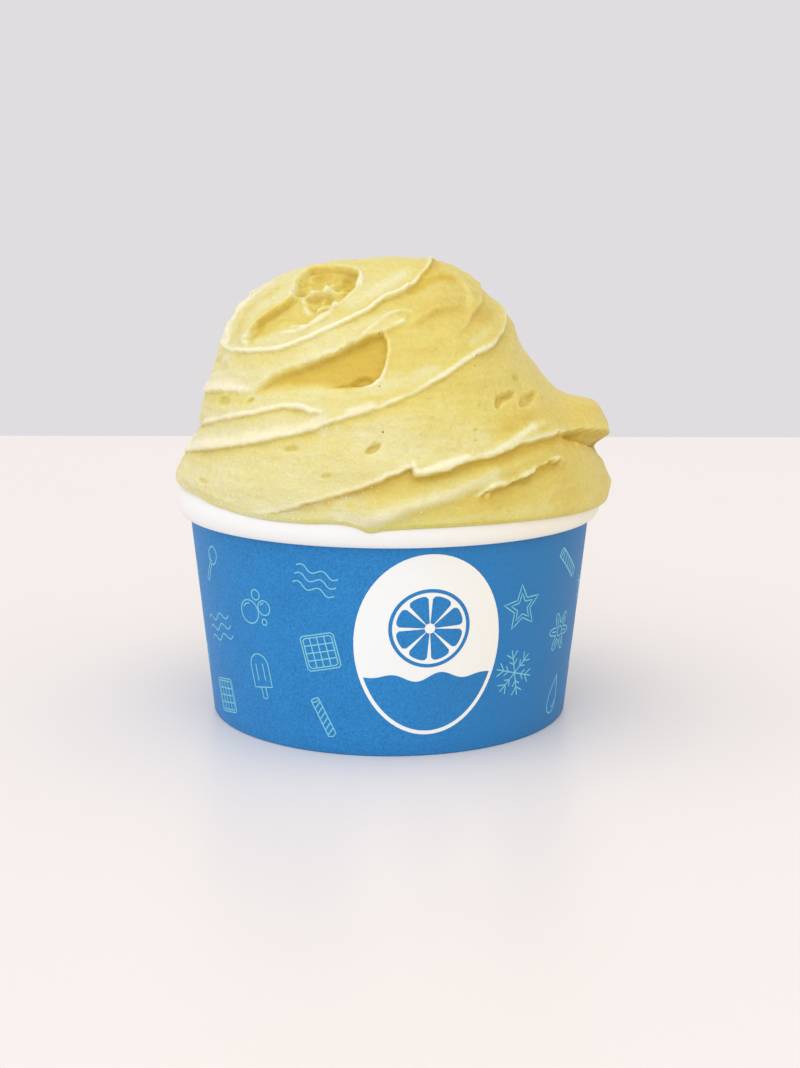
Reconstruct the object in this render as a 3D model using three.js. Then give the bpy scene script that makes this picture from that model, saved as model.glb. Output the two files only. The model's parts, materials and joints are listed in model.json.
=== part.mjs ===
// A small paper cup of lemon gelato, heaped over its rim in spatula strokes.
// Units are millimetres, +Z is up, and the origin is the middle of the cup's footprint.
// Azimuth is measured in degrees from +X towards +Y, so 270 is the front.

import * as THREE from 'three';

// ---- driving dimensions ----

const rimDiameter = 87;
const baseDiameter = 73.8;
const cupHeight = 48;
const wallThickness = 0.5;

const clearance = 0.3; // kept between the gelato and the paper

const wall = {
  outerAtBase: baseDiameter / 2,
  outerAtRim: 41.1, // where the wall goes in under the rolled rim
  topHeight: 41.5,
  neckDrop: 2, // inside, the wall turns in to the roll this far below its top
};

const rollHalfHeight = 3.3;
const rollCentre = 41.9; // radius of the middle of the roll

const rim = {
  middle: cupHeight - rollHalfHeight, // its widest height
  outerHalf: rimDiameter / 2 - rollCentre,
  innerHalf: 1.0,
  startAngle: -68, // where the roll leaves the wall, in degrees below its middle
  outerSteps: 8,
  innerSteps: 4,
};

const base = {
  recess: 5, // the disc sits this far above the table
  thickness: 0.6,
  skirtThickness: 1.2, // folded layers round the foot
};

const cupSegments = 64;

// ---- the gelato's body: four ribs between which the sides are rounded ----

const ribs = {
  height: [43.6, 45.0, 47.0, 50.0, 56.0, 62.0, 68.0, 74.0, 80.0, 85.0, 89.2, 92.0, 93.4],
  right: [44.3, 44.9, 45.1, 44.1, 41.6, 38.4, 32.6, 27.8, 24.4, 20.6, 16.2, 10.5, 0],
  back: [43.9, 44.1, 44.2, 43.9, 42.2, 39.6, 36.4, 32.2, 27.0, 21.6, 15.5, 9.5, 0],
  left: [43.6, 43.8, 44.0, 43.7, 40.6, 38.6, 37.0, 34.8, 32.6, 28.6, 22.4, 14.0, 0],
  front: [43.9, 44.1, 44.2, 43.9, 42.2, 39.6, 36.2, 31.8, 26.2, 20.2, 14.0, 8.5, 0],
};

// Lowest edge of the gelato on the rim: [azimuth, height].
const hangEdge = [
  [0, 44.4], [30, 45.4], [60, 44.9], [90, 45.6], [120, 45.2], [150, 46.0], [180, 46.9],
  [200, 46.6], [215, 45.8], [235, 45.5], [250, 45.7], [258, 45.9], [265, 44.6],
  [280, 45.3], [300, 45.3], [322, 44.9], [340, 44.5],
];

// ---- the strokes ----
// Each fold follows a line of [azimuth, height] points, running to the right. Above the
// line lies the lip of one layer, below it the recess over the next. Lip and recess are
// depths, spread evenly along the line; above and below are how far each one fades.

const folds = {
  petal: {
    closed: true,
    line: [
      [193, 75.4], [206, 75.2], [220, 75.8], [234, 76.8], [246, 79.0], [254, 81.4],
      [263, 84.2], [272, 86.4], [285, 88.4], [304, 90.2], [335, 91.4], [15, 91.6],
      [60, 90.8], [100, 89.4], [135, 87.8], [158, 85.0], [170, 81.4], [180, 78.0],
    ],
    lip: [0.9, 0.9, 1.0, 1.2, 1.2, 1.0, 0.8, 0.6, 0.6, 0.9],
    recess: [1.3, 1.2, 1.1, 1.4, 2.2, 1.6, 0.8, 0.6, 0.8, 1.2],
    above: 1.4,
    below: 3.0,
    droop: 0.6,
    dish: 0.9,
    dishReach: 2.5,
  },
  second: {
    line: [
      [60, 60], [100, 62.5], [135, 64.5], [165, 66], [185, 66.6], [200, 67.8],
      [212, 69.2], [224, 71.0], [235, 72.7], [245, 74.5], [255, 77.1], [266, 79.4],
      [274, 81.9], [281, 82.8],
    ],
    lip: [0, 0.6, 0.8, 1.4, 1.2, 0.9, 0.8, 0.3],
    recess: [0, 0.8, 1.0, 1.0, 1.0, 1.6, 1.8, 0],
    above: 2.0,
    below: 3.0,
    droop: 0.5,
  },
  small: {
    line: [
      [80, 54], [120, 57], [155, 59], [180, 60], [197, 61.2], [213, 63.2],
      [228, 65.2], [238, 66.6], [248, 66.0],
    ],
    lip: [0, 0.6, 0.7, 1.0, 1.0, 0.9],
    recess: [0, 0.7, 0.8, 0.8, 0.8, 0.5],
    above: 1.6,
    below: 2.4,
    droop: 0.5,
  },
  main: {
    line: [
      [110, 48], [150, 51], [178, 53.4], [190, 54.4], [206, 56.2], [220, 57.7],
      [234, 60.0], [246, 62.4], [256, 64.8], [266, 66.8], [275, 69.0], [287, 72.4],
      [300, 75.2], [314, 76.8], [328, 78.8], [345, 81.6], [2, 83.6], [25, 85.0], [60, 86.0],
    ],
    lip: [0, 0.6, 1.1, 1.5, 1.3, 1.2, 1.3, 1.4, 0],
    recess: [0, 0.8, 1.3, 1.6, 1.6, 1.5, 1.6, 1.6, 0],
    above: 1.8,
    below: 4.0,
    droop: 0.7,
  },
  ledge: {
    line: [
      [233, 46.3], [242, 47.6], [250, 49.6], [257, 51.4], [264, 53.2], [270, 54.9],
      [274.5, 56.2], [277.5, 55.4], [283, 55.6], [290, 56.9], [297, 58.3], [304, 59.4],
      [311, 60.6], [319, 61.1], [328, 60.3], [338, 59.2], [350, 58.4], [2, 58.6],
      [16, 59.6], [36, 61.0], [60, 62.4], [90, 64],
    ],
    lip: [0, 0.9, 1.2, 1.4, 1.5, 1.6, 1.9, 2.6, 3.4, 2.8, 1.4, 0.6, 0],
    recess: [0, 1.4, 1.9, 2.1, 2.2, 2.2, 2.2, 1.4, 0.6, 0.6, 0.5, 0.3, 0],
    above: 3.0,
    below: 4.5,
    droop: 0.3,
  },
  foot: {
    line: [
      [261, 44.6], [268, 46.8], [276, 49.0], [286, 50.9], [296, 53.2], [308, 55.6],
      [322, 57.8], [334, 59.0],
    ],
    lip: [0.6, 1.0, 1.1, 0.9, 0.6, 0],
    recess: [0.4, 1.0, 1.3, 1.3, 0.9, 0],
    above: 2.6,
    below: 4.5,
    droop: 0.2,
  },
  crease: {
    line: [[296, 79.0], [308, 81.0], [320, 83.2], [334, 86.0], [350, 88.4]],
    lip: [0, 0.5, 0.8, 0.9, 0.4],
    recess: [0, 0.5, 0.8, 0.8, 0.3],
    above: 2.6,
    below: 2.6,
    droop: 0.2,
  },
  backUpper: {
    line: [[340, 70], [10, 72], [45, 74.5], [80, 77.5], [115, 80.5], [145, 82]],
    lip: [0, 1.0, 1.2, 1.2, 0.9, 0],
    recess: [0, 1.4, 1.8, 1.8, 1.2, 0],
    above: 2.0,
    below: 5.0,
    droop: 0.7,
  },
  backLower: {
    line: [[10, 49], [40, 50.5], [70, 53], [100, 56.5], [130, 59], [150, 60]],
    lip: [0, 1.0, 1.2, 1.1, 0.8, 0],
    recess: [0, 1.4, 1.8, 1.6, 1.0, 0],
    above: 2.0,
    below: 5.0,
    droop: 0.7,
  },
};

const foldEdge = 1.4; // half the width of the step from lip to recess
const foldSample = 0.8; // spacing of the samples along a fold
const foldReach = [14, 22]; // an open fold fades out between these distances
const petalReach = [8, 14]; // so does the petal, but only below petalFloor
const petalFloor = 70;
const endFade = 1.2; // how quickly a fold ends
const droopReach = 0.8; // a lip's droop fades over this share of its height

// Scooped places: corners counter-clockwise seen from outside, softness of each side.
const scoops = {
  window: {
    under: 'second', // it stops at this fold's lip
    corners: [
      [206, 66.0], [232, 67.4], [250, 68.4], [262, 69.6], [267.6, 72.6], [269.6, 82.0],
      [250, 80.0], [228, 74.0], [212, 69.4],
    ],
    soft: [5.0, 4.0, 3.4, 1.4, 1.2, 1.2, 1.4, 1.4, 3.5],
    depth: 2.4,
  },
  petalPit: {
    corners: [
      [211, 77.2], [230, 80.0], [243, 84.0], [247, 88.6], [236, 90.6], [214, 90.2],
      [205, 87.6], [206, 82.0],
    ],
    soft: [1.6, 2.6, 2.0, 1.4, 1.4, 1.2, 1.2, 1.2],
    depth: 2.2,
  },
};

// Soft swellings: where, how far across and up they spread, and how far they stand out.
const swells = {
  crest: { at: [322, 91.2], across: 8, upwards: 6, out: 1.0 },
  shoulder: { at: [300, 80], across: 12, upwards: 8, out: 0.8 },
  lobe: { at: [358, 61.5], across: 10, upwards: 3.4, out: 2.2 },
};

const faceDepth = 12; // a scoop or swelling is not felt this far behind its face
const settledBand = [-0.3, 2.2]; // relief grows from none to full over this height above the edge

const gelatoColumns = 84;
const gelatoRows = 54;
const frontCrowding = 0.3; // radians by which the columns crowd towards the front
const rowSlant = 0.13; // how much the rows climb to the right, as the strokes do
const rimSteps = 4; // rows over each half of the roll
const wallSteps = 2; // rows down the inside of the wall

// ---- small helpers ----

const radians = THREE.MathUtils.degToRad;
const smooth = (low, high, x) => THREE.MathUtils.smoothstep(x, low, high);

// Cubic through the points (xs, ys), with the slopes of their neighbours.
function cubicAt(xs, ys, x) {
  const last = xs.length - 1;
  const slope = (i) => (ys[i + 1] - ys[i]) / (xs[i + 1] - xs[i]);
  const tangent = (i) => {
    if (i === 0) return slope(0);
    if (i === last) return slope(last - 1);
    return (slope(i - 1) + slope(i)) / 2;
  };
  let i = 0;
  while (i < last - 1 && x >= xs[i + 1]) i += 1;
  const width = xs[i + 1] - xs[i];
  const t = (x - xs[i]) / width;
  const s = 1 - t;
  return (1 + 2 * t) * s * s * ys[i] + t * s * s * width * tangent(i)
    + t * t * (3 - 2 * t) * ys[i + 1] - t * t * s * width * tangent(i + 1);
}

// Value of a list spread evenly over 0..1.
function evenly(values, along) {
  const place = along * (values.length - 1);
  const i = Math.min(Math.floor(place), values.length - 2);
  return THREE.MathUtils.lerp(values[i], values[i + 1], place - i);
}

// ---- the gelato's body ----

const sideNames = ['right', 'back', 'left', 'front'];
const halvings = 40; // of the search for a height
const nudge = { turn: 0.1, knot: 0.02, endMargin: 0.05 }; // steps that measure a slope

// Running length up the mean rib: every rib's points are set by it.
const knots = [0];
for (let i = 1; i < ribs.height.length; i += 1) {
  const mean = (j) => sideNames.reduce((sum, name) => sum + ribs[name][j], 0) / sideNames.length;
  const step = Math.hypot(mean(i) - mean(i - 1), ribs.height[i] - ribs.height[i - 1]);
  knots.push(knots[i - 1] + step);
}
const topKnot = knots[knots.length - 1];

function knotAtHeight(height) {
  let low = 0;
  let high = topKnot;
  for (let i = 0; i < halvings; i += 1) {
    const middle = (low + high) / 2;
    if (cubicAt(knots, ribs.height, middle) < height) low = middle;
    else high = middle;
  }
  return (low + high) / 2;
}

function bodyPoint(azimuth, knot) {
  const c = Math.cos(radians(azimuth));
  const s = Math.sin(radians(azimuth));
  const sideways = cubicAt(knots, c > 0 ? ribs.right : ribs.left, knot);
  const lengthways = cubicAt(knots, s > 0 ? ribs.back : ribs.front, knot);
  const reach = sideways * c * c + lengthways * s * s;
  return new THREE.Vector3(reach * c, reach * s, cubicAt(knots, ribs.height, knot));
}

function bodyNormal(azimuth, knot) {
  const k = THREE.MathUtils.clamp(knot, nudge.endMargin, topKnot - nudge.endMargin);
  const around = bodyPoint(azimuth + nudge.turn, k).sub(bodyPoint(azimuth - nudge.turn, k));
  const upwards = bodyPoint(azimuth, k + nudge.knot).sub(bodyPoint(azimuth, k - nudge.knot));
  return around.cross(upwards).normalize();
}

function onBody([azimuth, height]) {
  const knot = knotAtHeight(height);
  return { point: bodyPoint(azimuth, knot), normal: bodyNormal(azimuth, knot) };
}

// ---- relief: folds, scoops and swellings shift the body's points ----

// Samples along a fold: point, direction, upward direction on the surface, and 0..1 along it.
function sampleFold(fold) {
  const marks = fold.line.map(onBody);
  const curve = new THREE.CatmullRomCurve3(marks.map((m) => m.point), !!fold.closed, 'catmullrom', 0.5);
  const spans = fold.closed ? marks.length : marks.length - 1;
  const samples = [];
  for (let i = 0; i < spans; i += 1) {
    const from = marks[i];
    const to = marks[(i + 1) % marks.length];
    const pieces = Math.max(2, Math.ceil(from.point.distanceTo(to.point) / foldSample));
    const isLast = !fold.closed && i === spans - 1;
    for (let j = 0; j < pieces + (isLast ? 1 : 0); j += 1) {
      const t = j / pieces;
      const point = curve.getPoint((i + t) / spans);
      const normal = from.normal.clone().lerp(to.normal, t).normalize();
      const ahead = curve.getTangent((i + t) / spans);
      const upwards = normal.clone().cross(ahead).normalize();
      samples.push({ point, ahead, upwards });
    }
  }
  let length = 0;
  samples.forEach((sample, i) => {
    if (i > 0) length += sample.point.distanceTo(samples[i - 1].point);
    sample.along = length;
  });
  samples.forEach((sample) => { sample.along /= length; });
  return samples;
}

const foldSamples = Object.entries(folds)
  .map(([name, fold]) => ({ name, fold, samples: sampleFold(fold) }));

function foldShift({ name, fold, samples }, { point, normal, lifted, total }) {
  let nearest = samples[0];
  let shortest = Infinity;
  for (const sample of samples) {
    const distance = sample.point.distanceToSquared(point);
    if (distance < shortest) {
      shortest = distance;
      nearest = sample;
    }
  }
  const far = Math.sqrt(shortest);
  const offset = point.clone().sub(nearest.point);
  const height = offset.dot(nearest.upwards); // above the line when positive
  const lip = evenly(fold.lip, nearest.along);
  const recess = evenly(fold.recess, nearest.along);

  let weight = 1;
  if (fold.closed) {
    if (point.z < petalFloor) weight = 1 - smooth(...petalReach, far);
  } else {
    weight = 1 - smooth(...foldReach, far);
    const past = offset.dot(nearest.ahead);
    if (nearest === samples[0]) weight *= 1 - smooth(0, endFade, -past);
    if (nearest === samples[samples.length - 1]) weight *= 1 - smooth(0, endFade, past);
  }

  const over = smooth(-foldEdge, foldEdge, height);
  const up = height > 0 ? far : 0;
  const down = height < 0 ? far : 0;
  let out = over * lip * Math.exp(-up / fold.above);
  out -= (1 - over) * recess * Math.exp(-down / fold.below);
  if (fold.dish) out -= over * fold.dish * (1 - Math.exp(-up / fold.dishReach));
  const drop = over * fold.droop * Math.min(lip, 1) * Math.exp(-up / (droopReach * fold.above));
  total.addScaledVector(normal, out * weight);
  total.addScaledVector(nearest.upwards, -drop * weight);
  lifted[name] = over;
}

// Tangent plane of a scoop, with its corners in the plane's own coordinates.
function layScoop(scoop) {
  const marks = scoop.corners.map(onBody);
  const centre = new THREE.Vector3();
  const facing = new THREE.Vector3();
  marks.forEach((m) => {
    centre.addScaledVector(m.point, 1 / marks.length);
    facing.add(m.normal);
  });
  facing.normalize();
  const right = new THREE.Vector3(0, 0, 1).cross(facing).normalize();
  const upwards = facing.clone().cross(right);
  const flatten = (point) => {
    const offset = point.clone().sub(centre);
    return new THREE.Vector2(offset.dot(right), offset.dot(upwards));
  };
  return { scoop, centre, facing, flatten, outline: marks.map((m) => flatten(m.point)) };
}

const laidScoops = Object.values(scoops).map(layScoop);

function scoopShift({ scoop, centre, facing, flatten, outline }, { point, normal, lifted, total }) {
  if (point.clone().sub(centre).dot(facing) < -faceDepth) return;
  const flat = flatten(point);
  let weight = scoop.under ? 1 - lifted[scoop.under] : 1;
  outline.forEach((corner, i) => {
    const side = outline[(i + 1) % outline.length].clone().sub(corner).normalize();
    const inward = new THREE.Vector2(-side.y, side.x);
    weight *= smooth(0, scoop.soft[i], flat.clone().sub(corner).dot(inward));
  });
  total.addScaledVector(normal, -scoop.depth * weight);
}

const laidSwells = Object.values(swells).map((swell) => ({ swell, ...onBody(swell.at) }));

function swellShift({ swell, point: centre, normal: facing }, { point, total }) {
  const offset = point.clone().sub(centre);
  if (offset.dot(facing) < -faceDepth) return;
  const right = new THREE.Vector3(0, 0, 1).cross(facing).normalize();
  const across = offset.dot(right) / swell.across;
  const upwards = offset.dot(facing.clone().cross(right)) / swell.upwards;
  total.addScaledVector(facing, swell.out * Math.exp(-(across * across + upwards * upwards)));
}

function relief(point, normal) {
  const place = { point, normal, lifted: {}, total: new THREE.Vector3() };
  foldSamples.forEach((fold) => foldShift(fold, place));
  laidScoops.forEach((scoop) => scoopShift(scoop, place));
  laidSwells.forEach((swell) => swellShift(swell, place));
  return place.total;
}

// ---- the gelato as one closed surface ----

const hangAzimuths = [-360, 0, 360].flatMap((turn) => hangEdge.map(([azimuth]) => azimuth + turn));
const hangHeights = [-360, 0, 360].flatMap(() => hangEdge.map(([, height]) => height));
const hangAt = (azimuth) => cubicAt(hangAzimuths, hangHeights, azimuth);

const wallInnerAt = (height) => {
  const lean = (wall.outerAtRim - wall.outerAtBase) / wall.topHeight;
  return wall.outerAtBase + lean * height - wallThickness;
};

// Path under the gelato at one azimuth: from the middle of the base, up the wall and over the roll.
function undersidePath(hang) {
  const floor = base.recess + base.thickness + clearance;
  const path = [];
  for (let i = 0; i <= wallSteps; i += 1) {
    const height = THREE.MathUtils.lerp(floor, rim.middle, i / wallSteps);
    const topReach = rollCentre - rim.innerHalf - clearance;
    path.push([Math.min(wallInnerAt(height) - clearance, topReach), height]);
  }
  const rise = rollHalfHeight + clearance;
  for (let i = 1; i <= rimSteps; i += 1) {
    const angle = Math.PI * (1 - (0.5 * i) / rimSteps);
    const across = (rim.innerHalf + clearance) * Math.cos(angle);
    path.push([rollCentre + across, rim.middle + rise * Math.sin(angle)]);
  }
  const lowest = Math.asin((hang - rim.middle) / rise);
  for (let i = 1; i <= rimSteps; i += 1) {
    const angle = THREE.MathUtils.lerp(Math.PI / 2, lowest, i / rimSteps);
    const across = (rim.outerHalf + clearance) * Math.cos(angle);
    path.push([rollCentre + across, rim.middle + rise * Math.sin(angle)]);
  }
  return path;
}

function gelatoGeometry() {
  const floor = base.recess + base.thickness + clearance;
  const rings = [];
  for (let column = 0; column < gelatoColumns; column += 1) {
    const turn = (2 * Math.PI * column) / gelatoColumns;
    const azimuth = (THREE.MathUtils.radToDeg(turn - frontCrowding * Math.cos(turn)) + 360) % 360;
    const hang = hangAt(azimuth);
    const ring = undersidePath(hang).map(([reach, height]) => new THREE.Vector3(
      reach * Math.cos(radians(azimuth)), reach * Math.sin(radians(azimuth)), height,
    ));
    const lowest = knotAtHeight(hang);
    for (let row = 0; row < gelatoRows; row += 1) {
      const share = row / gelatoRows;
      const slant = 4 * rowSlant * share * (1 - share) * Math.cos(radians(azimuth));
      const knot = THREE.MathUtils.lerp(lowest, topKnot, share + slant);
      const point = bodyPoint(azimuth, knot);
      const settled = smooth(...settledBand, point.z - hang); // the edge on the rim stays put
      const shift = relief(point, bodyNormal(azimuth, knot));
      ring.push(point.clone().addScaledVector(shift, settled));
    }
    rings.push(ring);
  }

  const perRing = rings[0].length;
  const vertices = rings.flat();
  const bottomPole = vertices.length;
  vertices.push(new THREE.Vector3(0, 0, floor));
  const summit = new THREE.Vector3(0, 0, ribs.height[ribs.height.length - 1]);
  const topPole = vertices.length;
  vertices.push(summit.clone().add(relief(summit, new THREE.Vector3(0, 0, 1))));

  const index = [];
  for (let column = 0; column < gelatoColumns; column += 1) {
    const here = column * perRing;
    const next = ((column + 1) % gelatoColumns) * perRing;
    index.push(bottomPole, next, here);
    for (let row = 0; row < perRing - 1; row += 1) {
      index.push(here + row, next + row, next + row + 1);
      index.push(here + row, next + row + 1, here + row + 1);
    }
    index.push(here + perRing - 1, next + perRing - 1, topPole);
  }
  const geometry = new THREE.BufferGeometry().setFromPoints(vertices);
  geometry.setIndex(index);
  geometry.computeVertexNormals();
  return geometry;
}

// ---- the cup: one turned shell with a rolled rim and a recessed base ----

function cupGeometry() {
  const profile = [];
  const add = (reach, height) => profile.push(new THREE.Vector2(reach, height));
  const skirtInner = wall.outerAtBase - base.skirtThickness;
  const discTop = base.recess + base.thickness;

  add(0, base.recess);
  add(skirtInner, base.recess);
  add(skirtInner, 0);
  add(wall.outerAtBase, 0);
  add(wall.outerAtRim, wall.topHeight);
  for (let i = 0; i <= rim.outerSteps; i += 1) {
    const angle = radians(THREE.MathUtils.lerp(rim.startAngle, 90, i / rim.outerSteps));
    add(rollCentre + rim.outerHalf * Math.cos(angle), rim.middle + rollHalfHeight * Math.sin(angle));
  }
  for (let i = 1; i <= rim.innerSteps; i += 1) {
    const angle = radians(THREE.MathUtils.lerp(90, 180, i / rim.innerSteps));
    add(rollCentre + rim.innerHalf * Math.cos(angle), rim.middle + rollHalfHeight * Math.sin(angle));
  }
  add(wallInnerAt(wall.topHeight - wall.neckDrop), wall.topHeight - wall.neckDrop);
  add(wallInnerAt(discTop), discTop);
  add(0, discTop);

  const geometry = new THREE.LatheGeometry(profile, cupSegments);
  geometry.rotateX(Math.PI / 2);
  return geometry;
}

// ---- the object ----

const paper = new THREE.MeshStandardMaterial({ color: 0x2f78bd, roughness: 0.55, metalness: 0 });
const lemonGelato = new THREE.MeshStandardMaterial({ color: 0xeddf8f, roughness: 0.4, metalness: 0 });

const cup = new THREE.Mesh(cupGeometry(), paper);
cup.name = 'cup';

const gelato = new THREE.Mesh(gelatoGeometry(), lemonGelato);
gelato.name = 'gelato';

const group = new THREE.Group();
group.name = 'gelatoCup';
group.add(cup, gelato);

export default group;
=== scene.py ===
import json
import math

import bpy
import numpy as np
from mathutils import Matrix, Vector

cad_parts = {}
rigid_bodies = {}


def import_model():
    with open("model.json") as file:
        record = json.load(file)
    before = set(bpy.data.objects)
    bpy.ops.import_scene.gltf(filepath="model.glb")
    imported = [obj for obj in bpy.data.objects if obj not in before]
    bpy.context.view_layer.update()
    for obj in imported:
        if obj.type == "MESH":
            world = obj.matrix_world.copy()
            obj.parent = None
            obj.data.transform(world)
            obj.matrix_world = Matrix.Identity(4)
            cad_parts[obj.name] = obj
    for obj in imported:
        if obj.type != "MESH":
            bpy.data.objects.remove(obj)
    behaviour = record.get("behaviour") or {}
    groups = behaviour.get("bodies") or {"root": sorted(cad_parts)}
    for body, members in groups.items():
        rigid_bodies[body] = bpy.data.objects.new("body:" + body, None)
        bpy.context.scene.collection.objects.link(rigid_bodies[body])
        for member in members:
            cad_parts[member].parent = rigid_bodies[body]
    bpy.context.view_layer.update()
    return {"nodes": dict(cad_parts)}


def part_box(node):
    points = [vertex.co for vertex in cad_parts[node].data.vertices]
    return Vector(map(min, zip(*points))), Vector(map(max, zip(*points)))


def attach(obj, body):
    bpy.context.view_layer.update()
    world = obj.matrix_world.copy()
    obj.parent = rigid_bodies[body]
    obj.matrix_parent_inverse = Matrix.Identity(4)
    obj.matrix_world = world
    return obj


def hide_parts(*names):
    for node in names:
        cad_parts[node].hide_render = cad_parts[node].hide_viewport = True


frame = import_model()
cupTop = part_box("cup")[1].z
print("frame loaded:", ", ".join(sorted(frame["nodes"])))

mm = 0.001  # all the sizes below are in millimetres and degrees
degree = math.pi / 180
softAngle = 35 * degree  # steeper edges are drawn sharp


# general helpers

def smooth(low, high, x):
    t = np.clip((x - low) / (high - low), 0, 1)
    return t * t * (3 - 2 * t)


def unit(v):
    return v / np.maximum(np.linalg.norm(v, axis=-1, keepdims=True), 1e-12)


def evenly(values, share):  # a list spread evenly over 0..1, or one value for all
    spread = np.atleast_1d(values)
    return np.interp(share, np.linspace(0, 1, len(spread)), spread)


def cubicThrough(xs, ys, x):
    xs = np.asarray(xs, float)
    ys = np.asarray(ys, float)
    slope = np.diff(ys) / np.diff(xs)
    tangent = np.concatenate([slope[:1], (slope[1:] + slope[:-1]) / 2, slope[-1:]])
    i = np.clip(np.searchsorted(xs, x) - 1, 0, len(xs) - 2)
    width = xs[i + 1] - xs[i]
    t = (x - xs[i]) / width
    s = 1 - t
    start = (1 + 2 * t) * s * s * ys[i] + t * s * s * width * tangent[i]
    end = t * t * (3 - 2 * t) * ys[i + 1] - t * t * s * width * tangent[i + 1]
    return start + end


def latticeNoise(points, size, seed):  # smooth noise in -1..1 with features about size across
    cells = 64
    lattice = np.random.default_rng(seed).uniform(-1, 1, (cells, cells, cells))
    q = points / size + cells / 2
    corner = np.floor(q).astype(int)
    t = q - corner
    t = t * t * (3 - 2 * t)
    total = np.zeros(len(points))
    for step in np.ndindex(2, 2, 2):
        weight = np.prod(np.where(np.array(step) == 1, t, 1 - t), axis=1)
        x, y, z = ((corner + step) % cells).T
        total += weight * lattice[x, y, z]
    return total


def arc(centre, across, up, start, stop, steps):  # part of an oval
    angles = np.radians(np.linspace(start, stop, steps + 1))
    return [(centre[0] + across * math.cos(t), centre[1] + up * math.sin(t)) for t in angles]


def placeObject(name, data):
    piece = bpy.data.objects.new(name, data)
    bpy.context.scene.collection.objects.link(piece)
    return piece


def meshObject(name, points, faces=(), edges=()):  # points in millimetres
    mesh = bpy.data.meshes.new(name)
    mesh.from_pydata((np.asarray(points, float) * mm).tolist(), edges, faces)
    mesh.update()
    return placeObject(name, mesh)


def paintMesh(mesh, name, values, kind="FLOAT", field="value"):
    data = mesh.attributes.new(name, kind, "POINT").data
    data.foreach_set(field, np.asarray(values, np.float32).ravel())


# node helpers

def plug(tree, value, socket):  # value: an output, a sum as (operation, values...) or a constant
    if isinstance(value, tuple) and isinstance(value[0], str):
        value = calculate(tree, *value)
    if isinstance(value, bpy.types.NodeSocket):
        tree.links.new(value, socket)
    elif socket.type == "RGBA":
        socket.default_value = (*value, 1)
    else:
        socket.default_value = value


def addNode(tree, kind, inputs=None, **settings):
    node = tree.nodes.new(kind)
    for key, value in settings.items():
        setattr(node, key, value)
    for key, value in (inputs or {}).items():
        plug(tree, value, node.inputs[key])
    return node


def calculate(tree, operation, *values):
    return addNode(tree, "ShaderNodeMath", dict(enumerate(values)), operation=operation).outputs[0]


def partsOf(tree, vector):
    return addNode(tree, "ShaderNodeSeparateXYZ", {"Vector": vector}).outputs


def positionOf(tree):
    return addNode(tree, "GeometryNodeInputPosition").outputs[0]


def movedTo(tree, geometry, position, offset=(0, 0, 0)):
    inputs = {"Geometry": geometry, "Position": position, "Offset": offset}
    return addNode(tree, "GeometryNodeSetPosition", inputs).outputs[0]


def numberedGrid(tree, columns, rows):  # a grid, and the column and row of each of its points
    grid = addNode(tree, "GeometryNodeMeshGrid", {"Vertices X": columns, "Vertices Y": rows})
    index = addNode(tree, "GeometryNodeInputIndex").outputs[0]
    column = calculate(tree, "FLOOR", ("DIVIDE", ("ADD", index, 0.5), rows))
    row = calculate(tree, "SUBTRACT", index, ("MULTIPLY", column, rows))
    return grid.outputs["Mesh"], column, row


def randomBetween(tree, low, high, seed):
    inputs = {2: low, 3: high, "Seed": seed}  # by place, as the names are shared with the vector kind
    return addNode(tree, "FunctionNodeRandomValue", inputs, data_type="FLOAT").outputs[1]


def randomVector(tree, low, high, seed):
    inputs = {"Min": low, "Max": high, "Seed": seed}
    return addNode(tree, "FunctionNodeRandomValue", inputs, data_type="FLOAT_VECTOR").outputs[0]


def newTree(name, **inputs):  # a Geometry Nodes tree with named inputs, listed by kind
    tree = bpy.data.node_groups.new(name, "GeometryNodeTree")
    for kind, labels in {"Geometry": ["Geometry"], **inputs}.items():
        for label in labels:
            tree.interface.new_socket(label, in_out="INPUT", socket_type="NodeSocket" + kind)
    tree.interface.new_socket("Geometry", in_out="OUTPUT", socket_type="NodeSocketGeometry")
    return tree, addNode(tree, "NodeGroupInput").outputs


def finishTree(tree, geometry, finish):  # what every tree ends in
    realized = addNode(tree, "GeometryNodeRealizeInstances", {"Geometry": geometry})
    painted = addNode(tree, "GeometryNodeSetMaterial", {"Geometry": realized.outputs[0], "Material": finish})
    addNode(tree, "NodeGroupOutput", {0: painted.outputs[0]})
    return tree


def growPiece(name, source, tree, values):  # the tree's result as a plain mesh of its own
    modifier = source.modifiers.new("grow", "NODES")
    modifier.node_group = tree
    for item in tree.interface.items_tree:
        if item.in_out == "INPUT" and item.name in values:
            modifier[item.identifier] = values[item.name]
    bpy.context.view_layer.update()
    evaluated = source.evaluated_get(bpy.context.evaluated_depsgraph_get())
    mesh = bpy.data.meshes.new_from_object(evaluated)
    mesh.name = name
    mesh.shade_smooth()
    mesh.set_sharp_from_angle(angle=softAngle)
    source.modifiers.remove(modifier)
    bpy.data.objects.remove(source)
    print("  ", name, len(mesh.polygons), "faces")
    return placeObject(name, mesh)


def settle(piece, node):  # rides with the part and stands for its node
    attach(piece, "root")
    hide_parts(node)


# materials

def newMaterial(name, **sockets):  # sockets by label, with _ for a space
    material = bpy.data.materials.new(name)
    material.use_nodes = True
    shader = material.node_tree.nodes["Principled BSDF"]
    for label, value in sockets.items():
        shader.inputs[label.replace("_", " ")].default_value = value
    return material, material.node_tree, shader


def objectPlace(tree):
    return addNode(tree, "ShaderNodeTexCoord").outputs["Object"]


def attributeOf(tree, name, output="Fac"):
    return addNode(tree, "ShaderNodeAttribute", attribute_name=name).outputs[output]


def noiseAt(tree, place, scale, detail=2.0, roughness=0.5):
    inputs = {"Vector": place, "Scale": scale, "Detail": detail, "Roughness": roughness}
    return addNode(tree, "ShaderNodeTexNoise", inputs).outputs["Fac"]


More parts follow.
